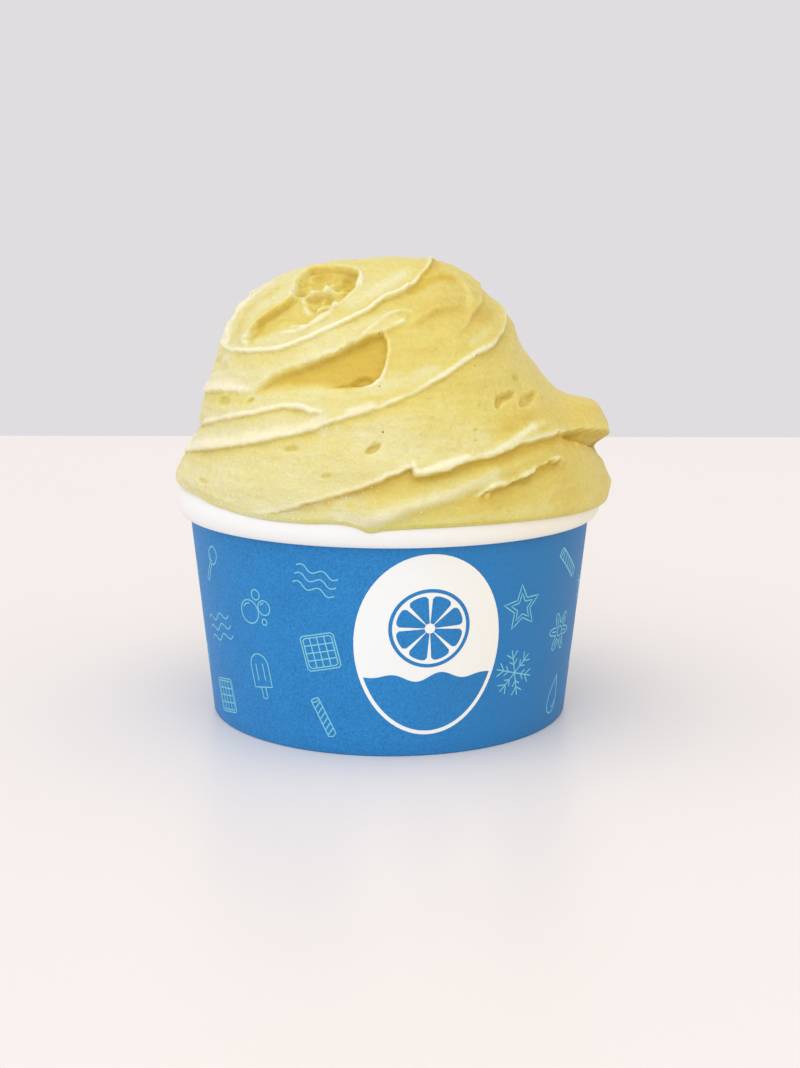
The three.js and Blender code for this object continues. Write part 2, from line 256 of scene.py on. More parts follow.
def acrossX(tree, place, start, end, low=0.0, high=1.0):  # from low at the start to high at the end
    inputs = {
        "Value": partsOf(tree, place)["X"],
        "From Min": start * mm, "From Max": end * mm,
        "To Min": low, "To Max": high,
    }
    return addNode(tree, "ShaderNodeMapRange", inputs, interpolation_type="SMOOTHSTEP").outputs["Result"]


def rampAt(tree, factor, stops):  # stops: (place, colour)
    ramp = addNode(tree, "ShaderNodeValToRGB", {"Fac": factor})
    bar = ramp.color_ramp
    while len(bar.elements) < len(stops):
        bar.elements.new(0.5)
    for element, (place, colour) in zip(bar.elements, stops):
        element.position = place
        element.color = (*colour, 1)
    return ramp.outputs["Color"]


def mixColour(tree, factor, a, b):
    return addNode(tree, "ShaderNodeMix", {"Factor": factor, 6: a, 7: b}, data_type="RGBA").outputs[2]


def bumpFrom(tree, shader, height, distance, strength, below=None):
    inputs = {"Height": height, "Distance": distance * mm, "Strength": strength}
    if below:
        inputs["Normal"] = below
    normal = addNode(tree, "ShaderNodeBump", inputs).outputs["Normal"]
    tree.links.new(normal, shader.inputs["Normal"])
    return normal


def speckledMaterial(name, scale, stops, **sockets):  # one noise between two tones
    material, tree, shader = newMaterial(name, **sockets)
    tone = rampAt(tree, noiseAt(tree, objectPlace(tree), scale), stops)
    tree.links.new(tone, shader.inputs["Base Color"])
    return material


def darker(colour, share):
    return tuple(c * share for c in colour)


cream = {
    "tones": [  # painted shade golden in the recesses, then the body, painted light, and painted highlight on the lips
        (0.05, (0.660, 0.470, 0.060)), (0.44, (0.740, 0.635, 0.180)),
        (0.66, (0.775, 0.725, 0.380)), (0.95, (0.900, 0.845, 0.600)),
    ],
    "frosty": (0.770, 0.735, 0.460),
    "scatterDepth": 2.0,
    "scatterWeight": 0.6,
    "scatterSpread": (1.0, 0.75, 0.28),
    "side": (-34, 30, 0.14, -0.18),  # painted light on the left to painted shade on the right, along X
    "gloss": (0.22, 0.30),  # how far the grain changes the roughness, and its least
    "noises": {  # scale, detail and roughness
        "streaks": (900, 3, 0.5), "cloud": (90, 2, 0.5), "mottle": (1300, 4, 0.65),
        "grain": (2600, 2, 0.6), "dimples": (700, 4, 0.5), "patches": (420, 3, 0.5),
    },
    "mottling": {"streaks": 0.2, "mottle": 0.32, "cloud": 0.24},  # how far each shifts the tone
    "bumps": {"dimples": (0.6, 0.9), "streaks": (0.12, 0.7), "grain": (0.14, 1.0)},  # depth, strength
}


def creamMaterial():
    material, tree, shader = newMaterial(
        "lemonCream", Roughness=0.42, IOR=1.38, Coat_Weight=0.06, Coat_Roughness=0.3,
        Subsurface_Weight=cream["scatterWeight"], Subsurface_Scale=cream["scatterDepth"] * mm,
        Subsurface_Radius=cream["scatterSpread"],
    )
    place = objectPlace(tree)
    stroke = attributeOf(tree, "stroke", "Vector")
    noises = {name: noiseAt(tree, stroke if name == "streaks" else place, *noise)
              for name, noise in cream["noises"].items()}
    # the painted shading, plus painted light on the left and painted shade on the right
    tone = calculate(tree, "ADD", attributeOf(tree, "layer"), acrossX(tree, place, *cream["side"]))
    for name, reach in cream["mottling"].items():
        tone = calculate(tree, "ADD", tone, ("MULTIPLY_ADD", noises[name], reach, -0.5 * reach))
    colour = rampAt(tree, tone, cream["tones"])
    frosted = calculate(tree, "MULTIPLY", attributeOf(tree, "frost"), noises["patches"])
    tree.links.new(mixColour(tree, frosted, colour, cream["frosty"]), shader.inputs["Base Color"])
    plug(tree, ("MULTIPLY_ADD", noises["grain"], *cream["gloss"]), shader.inputs["Roughness"])
    normal = None
    for name, (depth, strength) in cream["bumps"].items():
        normal = bumpFrom(tree, shader, noises[name], depth, strength, normal)
    return material


paper = {
    "blue": (0.028, 0.268, 0.665),
    "paintedShadeBlue": (0.028, 0.190, 0.440),  # painted shade on the wall's right side
    "white": (0.93, 0.96, 0.965),
    "paintedReflectionWhite": (0.93, 0.88, 0.73),  # painted warm reflection on the right of the rim and the badge
    "side": (-8, 42),  # where on X they turn from one to the other
    "fibre": (0.88, 0.87, 0.85),
    "teal": (0.250, 0.650, 0.745),
    "grainSize": 0.42,
    "cloudScale": 140,
}


def paperMaterial(name, colour, shade, gloss, grainDepth, speckle=0.35, aside=None):
    material, tree, shader = newMaterial(name, Roughness=gloss, Specular_IOR_Level=0.2)
    place = objectPlace(tree)
    cloud = noiseAt(tree, place, paper["cloudScale"], 3)
    fibre = noiseAt(tree, place, 1 / (paper["grainSize"] * mm), 3, 0.65)
    drift = ("MULTIPLY_ADD", cloud, 0.4, 0.175 - 0.5 * speckle)
    colour = mixColour(tree, ("MULTIPLY_ADD", fibre, speckle, drift), colour, shade)
    if aside:  # the painted shade or painted reflection it turns to at the right
        colour = mixColour(tree, acrossX(tree, place, *paper["side"]), colour, aside)
    tree.links.new(colour, shader.inputs["Base Color"])
    plug(tree, ("MULTIPLY_ADD", fibre, 0.2, gloss - 0.1), shader.inputs["Roughness"])
    bumpFrom(tree, shader, fibre, grainDepth, 0.6)
    return material


# the gelato: a heap turned round four ribs, then folded, scooped and pitted

gelato = {
    "columns": 440,
    "bodyRows": 204,
    "edgeRows": 5,
    "edgeHeight": 0.9,  # the rounded edge on the rim
    "frontCrowding": 0.45,  # radians by which the columns crowd to the front
    "rowClimb": 0.13,
    "settled": (0.2, 2.6),  # relief grows from none to full over this height above the edge
    "ribHeights": [43.6, 45, 47, 50, 56, 62, 68, 74, 80, 85, 89.2, 92, 93.4],
    "ribs": {
        "right": [44.3, 44.9, 45.1, 44.1, 41.6, 38.4, 32.4, 27.4, 24.2, 20.4, 16, 10.5, 0],
        "back": [43.8, 44, 44.1, 43.9, 42.2, 39.6, 36.4, 32.2, 27, 21.6, 15.5, 9.5, 0],
        "left": [43.5, 43.6, 43.8, 43.6, 40.6, 38.6, 37, 34.8, 32.6, 28.6, 22.4, 14, 0],
        "front": [43.8, 44, 44.1, 43.9, 42.2, 39.6, 36.2, 31.8, 26.2, 20.2, 14, 8.5, 0],
    },
    "hang": [  # azimuth and height of the edge on the rim
        (0, 44.4), (30, 45.4), (60, 44.9), (90, 45.6), (120, 45.2), (150, 46), (172, 47.2), (190, 47.8),
        (203, 47.8), (211, 47.6), (218, 46.9), (224, 46.5), (230, 46.1), (238, 45.7), (250, 45.7),
        (258, 45.9), (262, 45.4), (265, 44.5), (269, 44.9), (280, 45.3), (300, 45.35), (322, 44.9),
        (340, 44.5),
    ],
    "swell": 0.38,  # slow unevenness of the whole heap
    "streak": 0.13,  # fine furrows along the strokes
    "lumps": 0.11,
}

# each fold runs to the right through (azimuth, height, lip, recess): the lip above its line, the recess below
# each fold also paints a painted highlight along its lip, painted light above it and painted shade in the
# recess below
plainFold = {
    "closed": False, "reach": (14, 22), "edge": 0.38, "droop": 0, "bead": 0, "ragged": 0,
    "dish": 0, "dishReach": 1, "paintedHighlight": 0, "paintedLight": 0,
}
folds = {
    "petal": {
        "line": [
            (191, 76.2, 0.45, 0.3), (197, 75.2, 0.45, 0.35), (207, 75.1, 0.45, 0.35),
            (218, 75.4, 0.4, 0.35), (230, 76.3, 0.35, 0.4), (240, 78.7, 0.35, 0.5), (250, 81.4, 0.35, 0.6),
            (259, 83.3, 0.35, 0.75), (267, 85.4, 0.4, 0.85), (274, 86.1, 0.35, 0.85), (285, 87.8, 0.3, 0.8),
            (298, 89.7, 0.25, 0.7), (315, 91.3, 0.2, 0.7), (335, 92.3, 0.2, 0.8), (20, 92.2, 0.2, 0.4),
            (60, 91.2, 0.2, 0.4), (100, 90.2, 0.3, 0.5), (140, 89.2, 0.3, 0.5), (168, 87.6, 0.4, 0.5),
            (181, 85.2, 0.5, 0.5), (187, 82.4, 0.5, 0.5), (189, 79, 0.5, 0.4),
        ],
        "closed": True, "above": 0.8, "below": 2.8, "droop": 0.1, "bead": 0.16, "ragged": 0.12,
        "paintedHighlight": [0.9, 1.2, 1.4, 1, 0.9, 0.9, 1.2],
        "paintedShade": [0.05, 0.05, 0.1, 0.35, 0.6, 0.6, 0.5, 0.2, 0.1, 0.1], "dish": 0.6, "dishReach": 1.3,
    },
    "second": {
        "line": [
            (60, 60, 0, 0), (100, 62.5, 0.5, 0.5), (135, 64.5, 0.5, 0.5), (165, 65.6, 0.4, 0.4),
            (185, 66, 0.55, 0.4), (202, 67.2, 0.5, 0.35), (212, 67.8, 0.45, 0.25), (219, 68, 0.3, 0.2),
            (224, 68.7, 0.25, 0.15), (228, 70.2, 0.25, 0.15), (232, 71.5, 0.3, 0.2),
            (238, 72.9, 0.35, 0.25), (248, 75.3, 0.3, 0.25), (258, 78, 0.3, 0.35), (266, 79.5, 0.3, 0.4),
            (273, 80.6, 0.2, 0.2), (279, 81.2, 0, 0),
        ],
        "above": 2.8, "below": 3.4, "droop": 0.15,
        "edge": [0.5, 0.5, 0.5, 0.5, 0.5, 0.5, 0.5, 0.6, 1.3, 0.6, 0.5], "ragged": 0.22, "paintedHighlight": 0.2,
        "paintedLight": 0.2, "paintedShade": [0.2, 0.2, 0.2, 0.15, 0.35, 0.45, 0.35],
    },
    "small": {
        "line": [
            (80, 54, 0, 0), (120, 57, 0.4, 0.4), (155, 58.6, 0.3, 0.3), (180, 59.3, 0.3, 0.3),
            (197, 60.5, 0.35, 0.3), (213, 62.4, 0.35, 0.35), (228, 64.3, 0.35, 0.3), (238, 65.9, 0.45, 0.3),
            (244, 65.9, 0.45, 0.3), (248, 65.4, 0.3, 0.15),
        ],
        "above": 1.6, "below": 1.8, "droop": 0.15, "bead": 0.08, "ragged": 0.15, "paintedHighlight": [0.3, 0.5, 0.9],
        "paintedLight": 0.08, "paintedShade": 0.22,
    },
    "main": {
        "line": [
            (110, 48, 0, 0), (150, 51, 0.4, 0.4), (178, 53.4, 0.3, 0.2), (190, 54.4, 0.35, 0.3),
            (206, 56.2, 0.5, 0.5), (220, 57.8, 0.5, 0.6), (234, 59.9, 0.45, 0.6), (246, 61.9, 0.35, 0.5),
            (256, 64.2, 0.3, 0.4), (266, 66.2, 0.28, 0.35), (275, 68.4, 0.28, 0.3), (287, 71.5, 0.3, 0.3),
            (300, 74.5, 0.35, 0.35), (311, 75.9, 0.45, 0.45), (322, 77.7, 0.55, 0.55),
            (340, 80.5, 0.6, 0.6), (0, 83.1, 0.5, 0.5), (25, 84.4, 0.4, 0.4), (60, 86, 0, 0),
        ],
        "above": [2, 2.2, 2.4, 2, 1.2, 1.1, 1.4, 1.8, 2], "below": 2.4, "droop": 0.18, "bead": 0.06,
        "ragged": 0.14, "paintedHighlight": [0.2, 0.3, 0.5, 0.7, 0.9, 0.9, 0.9, 0.7, 0.5],
        "paintedLight": [0.1, 0.35, 0.35, 0.25, 0.05, 0, 0.1, 0.1, 0],
        "paintedShade": [0.2, 0.4, 0.5, 0.5, 0.3, 0.2, 0.2, 0.2, 0.2],
    },
    "ledge": {
        "line": [
            (233, 46.3, 0, 0), (242, 47.6, 0.3, 0.4), (250, 49.5, 0.3, 0.6), (258, 51.4, 0.3, 0.7),
            (266, 53.5, 0.35, 0.8), (272, 55.3, 0.35, 0.8), (275.4, 56.2, 0.4, 0.85),
            (276.6, 54.9, 0.7, 0.85), (282.5, 55.3, 0.7, 0.85), (290.8, 57, 0.6, 0.9),
            (298, 57.8, 0.6, 0.95), (305, 58.9, 0.6, 0.9), (313, 59.6, 0.6, 0.8), (321, 60, 0.55, 0.75),
            (328, 60.2, 0.5, 0.7), (334, 60, 0.5, 0.7), (340, 59.6, 0.5, 0.7), (346, 58.9, 0.5, 0.8),
            (351, 57.4, 0.4, 0.9), (355, 56.2, 0.3, 0.9), (0, 55.2, 0.3, 0.9), (6, 54.6, 0.4, 0.8),
            (16, 56.4, 0.5, 0.7), (36, 59.6, 0.5, 0.5), (60, 62.4, 0.4, 0.3), (90, 64, 0, 0),
        ],
        "above": [1.4, 1.4, 1.6, 2, 2.4, 2.6, 2.2, 2, 2], "below": 3.4, "droop": 0.18, "bead": 0.06,
        "ragged": 0.22, "paintedHighlight": [0.4, 0.6, 1.1, 0.5, 0.1, 0, 0.1],
        "paintedLight": [0, 0.05, 0.15, 0.15, 0.05, 0, 0], "paintedShade": [0.3, 0.6, 0.7, 0.6, 0.5, 0.3, 0.2],
        "edge": [0.38, 0.38, 0.4, 0.5, 0.6, 0.6, 0.5],
    },
    "foot": {
        "line": [
            (259, 44.6, 0.5, 0.3), (265, 46.1, 0.8, 0.5), (274, 48.5, 0.8, 0.7), (284, 50.5, 0.7, 0.8),
            (294, 53, 0.5, 0.7), (306, 55.4, 0.3, 0.5), (320, 57, 0.2, 0.2), (334, 57.4, 0, 0),
        ],
        "above": 2.6, "below": 4, "edge": 1.5, "ragged": 0.1, "paintedHighlight": 0.05, "paintedLight": 0.4, "paintedShade": 0.1,
    },
    "torn": {
        "line": [
            (292.4, 50.6, 0.2, 0.1), (295, 51.8, 1.1, 0.7), (300, 52.7, 1.1, 0.8), (306, 53.8, 1.1, 0.8),
            (312, 54.9, 1.1, 0.8), (318, 55.8, 1.1, 0.7), (321, 55.3, 0.5, 0.3),
        ],
        "above": 0.8, "below": 2.2, "droop": 0.35, "ragged": 0.45, "paintedHighlight": 0.9, "paintedShade": 0.4,
    },
    "curl": {
        "line": [
            (255, 79.3, 0, 0), (262, 81, 0.2, 0.2), (267, 82.1, 0.3, 0.3), (272.4, 82.9, 0.3, 0.3),
            (277, 83.1, 0.25, 0.3), (279.2, 82.6, 0.2, 0.3), (279, 81.7, 0.15, 0.3), (277, 81.1, 0.1, 0.2),
            (274.4, 80.7, 0, 0),
        ],
        "above": 1.4, "below": 0.9, "edge": 0.6, "ragged": 0.1, "reach": (1.6, 3.2), "paintedHighlight": 0.2,
        "paintedShade": 0.1,
    },
    "shoulderStep": {
        "line": [
            (275, 79.4, 0, 0), (281, 80.8, 0.2, 0.25), (285.5, 81.8, 0.25, 0.35), (290.7, 82.8, 0.3, 0.5),
            (296, 83.3, 0.3, 0.6), (301, 83.3, 0.25, 0.5), (305, 83.7, 0.1, 0.2),
        ],
        "above": 2.4, "below": 2, "edge": 0.8, "paintedShade": 0.15,
    },
    "shoulderHollow": {
        "line": [
            (303, 88.8, 0, 0), (313, 89.2, 0.15, 0.3), (321, 88.6, 0.2, 0.5), (324.6, 87.6, 0.2, 0.6),
            (322.6, 86.2, 0.2, 0.6), (316.8, 84.6, 0.2, 0.4), (309.8, 83.2, 0.1, 0.3), (303.6, 81.8, 0, 0),
        ],
        "above": 2, "below": 3, "edge": 1.1, "reach": (4, 8), "paintedShade": 0.15,
    },
    "shoulderEdge": {
        "line": [
            (295, 77.9, 0, 0), (302.1, 79.5, 0.25, 0.3), (307.1, 80.6, 0.3, 0.5), (313.3, 82.2, 0.35, 0.6),
            (319, 83, 0.35, 0.7), (329.3, 84.2, 0.35, 0.6), (340, 85.8, 0.3, 0.6), (356, 87.6, 0.3, 0.5),
            (15, 88.8, 0, 0),
        ],
        "above": 1.8, "below": 2, "edge": 0.5, "reach": (6, 11), "paintedHighlight": 0.2, "paintedShade": 0.15,
    },
    "lowLayer": {
        "line": [
            (193, 50.6, 0, 0), (204, 49.8, 0.4, 0.3), (216, 48.8, 0.4, 0.35), (228, 47.6, 0.3, 0.25),
            (238, 46.6, 0, 0),
        ],
        "above": 1.2, "below": 1.4, "edge": 0.6, "ragged": 0.3, "paintedHighlight": 0.05, "paintedShade": 0.1,
    },
    "backUpper": {
        "line": [
            (8, 71.4, 0, 0), (25, 72.6, 0.5, 0.6), (50, 74.6, 0.6, 0.9), (80, 77.5, 0.6, 0.9),
            (115, 80.5, 0.5, 0.7), (145, 82, 0, 0),
        ],
        "above": 2, "below": 3.2, "droop": 0.2, "bead": 0.06, "ragged": 0.14, "paintedHighlight": 0.35, "paintedLight": 0.1,
        "paintedShade": 0.35,
    },
    "backLower": {
        "line": [
            (10, 49, 0, 0), (40, 50.5, 0.5, 0.6), (70, 53, 0.6, 0.9), (100, 56.5, 0.6, 0.9),
            (130, 59, 0.5, 0.6), (150, 60, 0, 0),
        ],
        "above": 2, "below": 3.2, "droop": 0.2, "bead": 0.06, "ragged": 0.14, "paintedHighlight": 0.35, "paintedLight": 0.1,
        "paintedShade": 0.35,
    },
}

# scooped places: corners, and how softly each side (from its corner to the next) begins
scoops = {
    "window": {
        "corners": [
            (224, 67.2), (231, 67.8), (239, 68.5), (249, 69), (257, 69), (261, 69.7), (264.3, 70.6),
            (267.1, 71.9), (268.4, 74.1), (269.2, 76.4), (269, 78), (265.7, 80.6), (250, 77), (236, 74),
            (227, 71.2),
        ],
        "under": "second", "depth": 1.25, "rough": 0, "rim": 0.24, "paintedShade": 0.5,
        "soft": [4, 4.5, 4, 3, 2.4, 1.4, 0.8, 0.55, 0.5, 0.45, 0.4, 0.3, 0.4, 1.2, 3.5],
    },
    "bowl": {
        "corners": [
            (209.4, 77.1), (209, 78.2), (209.3, 79.6), (209.8, 80.9), (211.9, 82.1), (214.9, 83.5),
            (217, 84.9), (217, 86.2), (214, 87.6), (208.3, 89.1), (203.8, 90.2), (202, 91), (209.1, 91.2),
            (221.2, 91.3), (233.8, 91.1), (243.6, 90.3), (248, 89), (248.2, 87.5), (246.8, 86.4),
            (245, 85.4), (243, 84.5), (240.6, 83.5), (238.6, 82.8), (236.8, 81.5), (234.9, 80.4),
            (232, 79.7), (228.3, 79.3), (224.6, 78.3), (219.9, 77.1), (214.1, 76.7),
        ],
        "soft": [
            0.6, 0.5, 0.5, 0.5, 0.5, 0.5, 0.6, 0.7, 0.7, 0.7, 0.6, 0.5, 0.5, 0.5, 0.5, 0.5, 0.6, 0.7, 0.8,
            0.8, 0.8, 0.8, 0.9, 1.2, 1.8, 2.6, 3.4, 3.8, 3.2, 1.2,
        ],
        "depth": 1.4, "rough": 0.16, "rim": 0.12, "paintedShade": 0.24,
    },
    "tornInside": {
        "corners": [
            (213, 88), (207, 89.8), (208, 90.8), (221, 90.9), (234, 90.7), (243, 90), (246.5, 88.8),
            (246.5, 87.6), (244, 86), (240, 84.6), (232, 83.4), (224, 84.4), (217, 86.2),
        ],
        "depth": 0.45, "rough": 0.5, "rim": 0, "paintedShade": 0.14,
        "soft": [1, 0.7, 0.6, 0.6, 0.6, 0.7, 0.8, 0.9, 1, 1.4, 2.2, 2.4, 1.6],
    },
    "underLobe": {
        "corners": [
            (326.5, 60), (326, 59), (331, 58), (336, 57), (343, 56), (349, 54.8), (353, 55.4), (351, 57.8),
            (346, 59.1), (339, 59.8), (332, 60.2),
        ],
        "depth": 1.6, "rough": 0.25, "rim": 0, "paintedShade": 0.7,
        "soft": [0.8, 1.2, 1.4, 1.5, 1.4, 0.8, 0.5, 0.4, 0.4, 0.4, 0.4],
    },
    "dentLeft": {
        "corners": [
            (302.4, 66), (303.4, 65.4), (305.4, 66.2), (308.1, 66.9), (312.5, 67.4), (315.1, 68.5),
            (310.1, 68.6), (305.1, 68.1), (302.8, 66.9),
        ],
        "depth": 0.6, "rough": 0.16, "rim": 0.08, "paintedShade": 0.2, "soft": [0.7],
    },
    "dentRight": {
        "corners": [
            (312.2, 65.5), (315.6, 65.4), (322.1, 66.4), (327.7, 67.6), (324, 68), (316.6, 67.7),
            (313.3, 66.7),
        ],
        "depth": 0.6, "rough": 0.16, "rim": 0.08, "paintedShade": 0.2, "soft": [0.7],
    },
    "dentAbove": {
        "depth": 0.35, "rough": 0.1, "rim": 0, "paintedShade": 0.14,
        "corners": [(315.6, 70.3), (318.2, 69.7), (322.3, 70.2), (321.4, 71.1), (316.3, 71)], "soft": [0.6],
    },
    "leftFacet": {
        "depth": 0.35, "rough": 0.15, "rim": 0.04, "paintedShade": 0.08,
        "corners": [(204.1, 73.4), (196.6, 73.2), (188, 71), (187, 69.2), (201.8, 70.2), (208.6, 71.6)],
        "soft": [1.2, 1.8, 2, 1.2, 1, 0.9],
    },
}

# air holes and scuffs: azimuth, height, half length, half height, turn, depth
pits = [
    (257.2, 70.8, 3, 0.65, 9, 0.6), (261.5, 71.5, 2.3, 1.45, 9, 0.9), (265.8, 59.6, 1.8, 0.8, 32, 0.7),
    (243.3, 59, 1.5, 0.7, 10, 0.4), (254.3, 54.6, 1.2, 0.5, 10, 0.3), (224.8, 66.7, 1, 0.6, 20, 0.45),
    (211.7, 65.9, 2.5, 1.1, 0, 0.45), (297.4, 66.7, 0.4, 0.3, 0, 0.3), (293.8, 62.4, 0.45, 0.3, 0, 0.3),
    (293.2, 60.6, 0.3, 0.25, 0, 0.25), (214.6, 51, 2.2, 0.5, -4, 0.3), (274.4, 59.3, 0.35, 0.3, 0, 0.3),
    (287, 76.5, 0.4, 0.25, 10, 0.2), (35, 66, 1.6, 0.7, 12, 0.6), (96, 70, 1.2, 0.5, 8, 0.5),
    (140, 74, 1.8, 0.6, 6, 0.6), (70, 57.5, 1.3, 0.6, 20, 0.5), (160, 56.6, 1, 0.5, 0, 0.5),
]

# soft swellings: azimuth, height, half length, half height, turn, how far out
swells = [
    (322, 91.2, 8, 6, 0, 1), (300, 80, 12, 8, 0, 0.6), (352, 50, 9, 3.6, 0, 0.5),
    (350, 63.9, 6, 2.4, 0, 1.5), (356, 80.4, 5, 2.4, 0, 0.5),
]

# the tongue that stands out at the right
lobe = {"azimuth": 355, "height": 60.8, "halfLength": 12.8, "halfHeight": 4.4, "out": 4.6}

# torn ridges and crumbs: points, half width, how far out
ridges = [
    ([(225.3, 87.1), (228.7, 87.2), (232.2, 87.4), (231.8, 88.2), (231.6, 88.8)], 0.75, 1),
    ([(232.2, 87.4), (238.3, 87.1), (241.4, 87.7), (246.3, 88.2), (248.1, 88.8)], 0.7, 0.7),
    ([(217.5, 86.4), (223.3, 86), (222.8, 86.7), (225, 86.9)], 0.8, 0.9),
    ([(224.9, 85.4), (227.7, 84.5), (231, 83.7)], 0.7, 0.6),
    ([(234.4, 84.2), (237.1, 84.8), (241.2, 84.3), (243.5, 84.3)], 0.5, 1),
    ([(234, 80), (236.7, 80.6), (238.9, 81.7), (241.6, 82.9)], 0.4, 0.5),
    ([(227, 79.3), (231.8, 79.5), (235.3, 80)], 0.45, 0.4),
    ([(227.9, 80.8), (231.5, 80.9), (234.9, 81.5), (237.2, 82.4), (238.6, 83.5)], 0.45, 0.55),
    ([(236.8, 91.1), (244.6, 90.3), (249.1, 89.1), (251, 88)], 0.4, 0.35),
    ([(210, 80.5), (211, 79.3), (209, 78.2), (208.8, 77.3), (211.6, 76.7)], 0.45, 0.45),
    ([(196.5, 76.6), (191, 78.5), (187, 81), (187, 83.5), (188.5, 85.6), (193.5, 87.8)], 0.8, 0.35),
    ([(201.5, 78), (198, 79.8), (196.5, 82), (198, 84.2), (202, 86.8)], 1.1, -0.3),
    ([(270, 85.9), (275.2, 86.5), (281.5, 87.5)], 0.7, 0.5),
    ([(200, 91.9), (215, 92.2), (232, 92.1)], 1.8, -0.5), ([(200, 92.7), (175, 92.9), (140, 93)], 3, -0.8),
    ([(259.5, 79.4), (262.4, 80.6), (267.1, 81.9), (270.8, 82.8), (275.6, 83.2), (279.6, 82.8)], 0.4, 0.3),
    ([(273, 80.8), (275.9, 81.5)], 0.4, 0.35),
    ([(276.6, 55.2), (280, 55.7), (283.5, 56.4), (287.1, 57.2), (289.5, 57.5)], 0.65, 0.45),
    ([(296.4, 58), (302.2, 59.4), (308.5, 61), (312.6, 61.9), (317.8, 62.4)], 0.75, 0.3),
    ([(180, 54.4), (192, 55.5), (206, 57.3), (220, 58.9), (234, 61), (246, 63), (252, 64.3)], 1, 0.2),
    ([(180, 72.6), (188, 72.4), (196, 72.8)], 1, -0.9),
    ([(178, 59.4), (190, 59.8), (198, 60.4)], 1.2, -0.8),
    ([(258.6, 65.8), (261.8, 66.3), (265, 66.9)], 0.7, 0.4), ([(294.2, 50.8), (295.3, 52)], 0.45, 0.6),
    ([(295.8, 52.5), (298.9, 52.9)], 0.5, 0.5), ([(304.7, 54), (308.7, 54.7)], 0.5, 0.5),
    ([(316.6, 55.8), (319.4, 55.8), (320, 55)], 0.6, 0.8),
    ([(242, 66.3), (245.6, 66), (247.4, 65.4)], 0.4, 0.45), ([(248.6, 65.9), (250.4, 65.5)], 0.4, 0.5),
    ([(222, 58.1), (222.8, 58.3)], 0.4, 0.5), ([(276, 57.4), (276.2, 56.2)], 0.3, 0.2),
    ([(330.5, 59.8), (333, 57.6)], 0.6, 0.4), ([(337.5, 59.5), (339.5, 57.2)], 0.6, 0.45),
]

# painted highlights and painted shade: points, half width, painted light (+) or golden painted shade (-)
lightAndShadeBands = [
    ([(295.4, 57.8), (298.7, 58.5), (302.2, 59.4), (308.5, 61.1), (313, 62)], 0.65, 0.3),
    ([(313, 62), (318, 62.6), (324, 62.8)], 0.7, 0.06),
    ([(276.4, 55.2), (280, 55.7), (283.5, 56.5), (287.1, 57.2), (290, 57.6)], 0.6, 0.35),
    ([(276.5, 54.4), (284.1, 55.3), (293.2, 56.4), (300.9, 57.4), (308.7, 58.4), (318, 58.8)], 1, -0.12),
    ([(267.8, 47.4), (275.6, 49.5), (283.6, 50.9), (292.4, 52.8), (297.3, 54.1)], 1.3, 0.18),
    ([(278, 52.4), (286, 54), (296, 55.4)], 1.4, 0.08),
    ([(258, 46.6), (270, 47), (284, 46.8), (300, 47), (312, 47.6)], 1.6, 0.18),
    ([(325, 63), (340, 62.6), (352, 61)], 3.5, -0.12),
    ([(326, 59.2), (335, 58.4), (345, 57.2), (352, 56)], 1.4, -0.3),
    ([(201.4, 90.8), (210.8, 91.1), (221.6, 91.1), (231.4, 90.9), (240.6, 90.4)], 0.9, -0.3),
    ([(213.2, 77.6), (211, 80.5), (212.4, 82), (215.6, 83.8), (219, 85.3), (220, 86.5)], 0.8, -0.3),
    ([(185, 67), (200.9, 68.3), (211.1, 68.8), (218, 68.7), (223.6, 68.1)], 1, 0.2),
    ([(195.8, 76.4), (190, 78.3), (186, 81), (186, 83.5), (188, 86)], 0.9, 0.35),
    ([(180, 54.5), (206, 57.4), (234, 61), (250, 63.9)], 1.1, 0.06),
    ([(268, 59), (280, 60), (292, 61.5)], 5, 0.15),
    ([(287, 72), (295, 73.8), (302, 75.2), (311, 76.5)], 0.35, 0.45),
    ([(214, 54), (226, 54.6), (236, 53.4)], 3, -0.05), ([(238, 47.3), (258, 47.5)], 1.6, 0.14),
    ([(250, 85), (259, 86.8), (266, 88.2), (280, 90)], 1.8, 0.22),
    ([(201, 79), (198, 83), (203, 87)], 2.2, -0.15), ([(236, 79.5), (246, 83), (252, 86)], 1.6, -0.1),
    ([(285, 83), (300, 83.6), (318, 82.6)], 4, -0.15), ([(264, 70), (276, 71.4), (284, 73)], 1.6, 0.16),
    ([(270, 75.5), (284, 76.5)], 2.2, -0.12), ([(261, 77.9), (266, 77.6)], 1.3, -0.3),
    ([(241, 80), (252, 80.8), (262, 81.7)], 1.6, 0.08), ([(210, 73.5), (222, 74), (236, 75.5)], 2, -0.1),
    ([(210, 80), (215, 82)], 2.2, -0.12), ([(304, 62.6), (316, 63.6)], 2, -0.16),
    ([(303, 77.2), (311, 78.4), (319, 79.6)], 0.8, 0.22), ([(333, 83), (325, 82), (316, 81.2)], 1, -0.3),
    ([(322, 88.6), (327, 87.4), (321, 85.4), (312, 83.2)], 0.8, 0.15),
    ([(284, 86.6), (291, 87.5), (301, 88.4), (312, 88.9), (322, 88.7)], 0.9, -0.25),
    ([(262, 47), (276, 48), (290, 49.4)], 3, -0.08), ([(262, 62.5), (272, 64.5), (284, 66.5)], 3, 0.08),
]

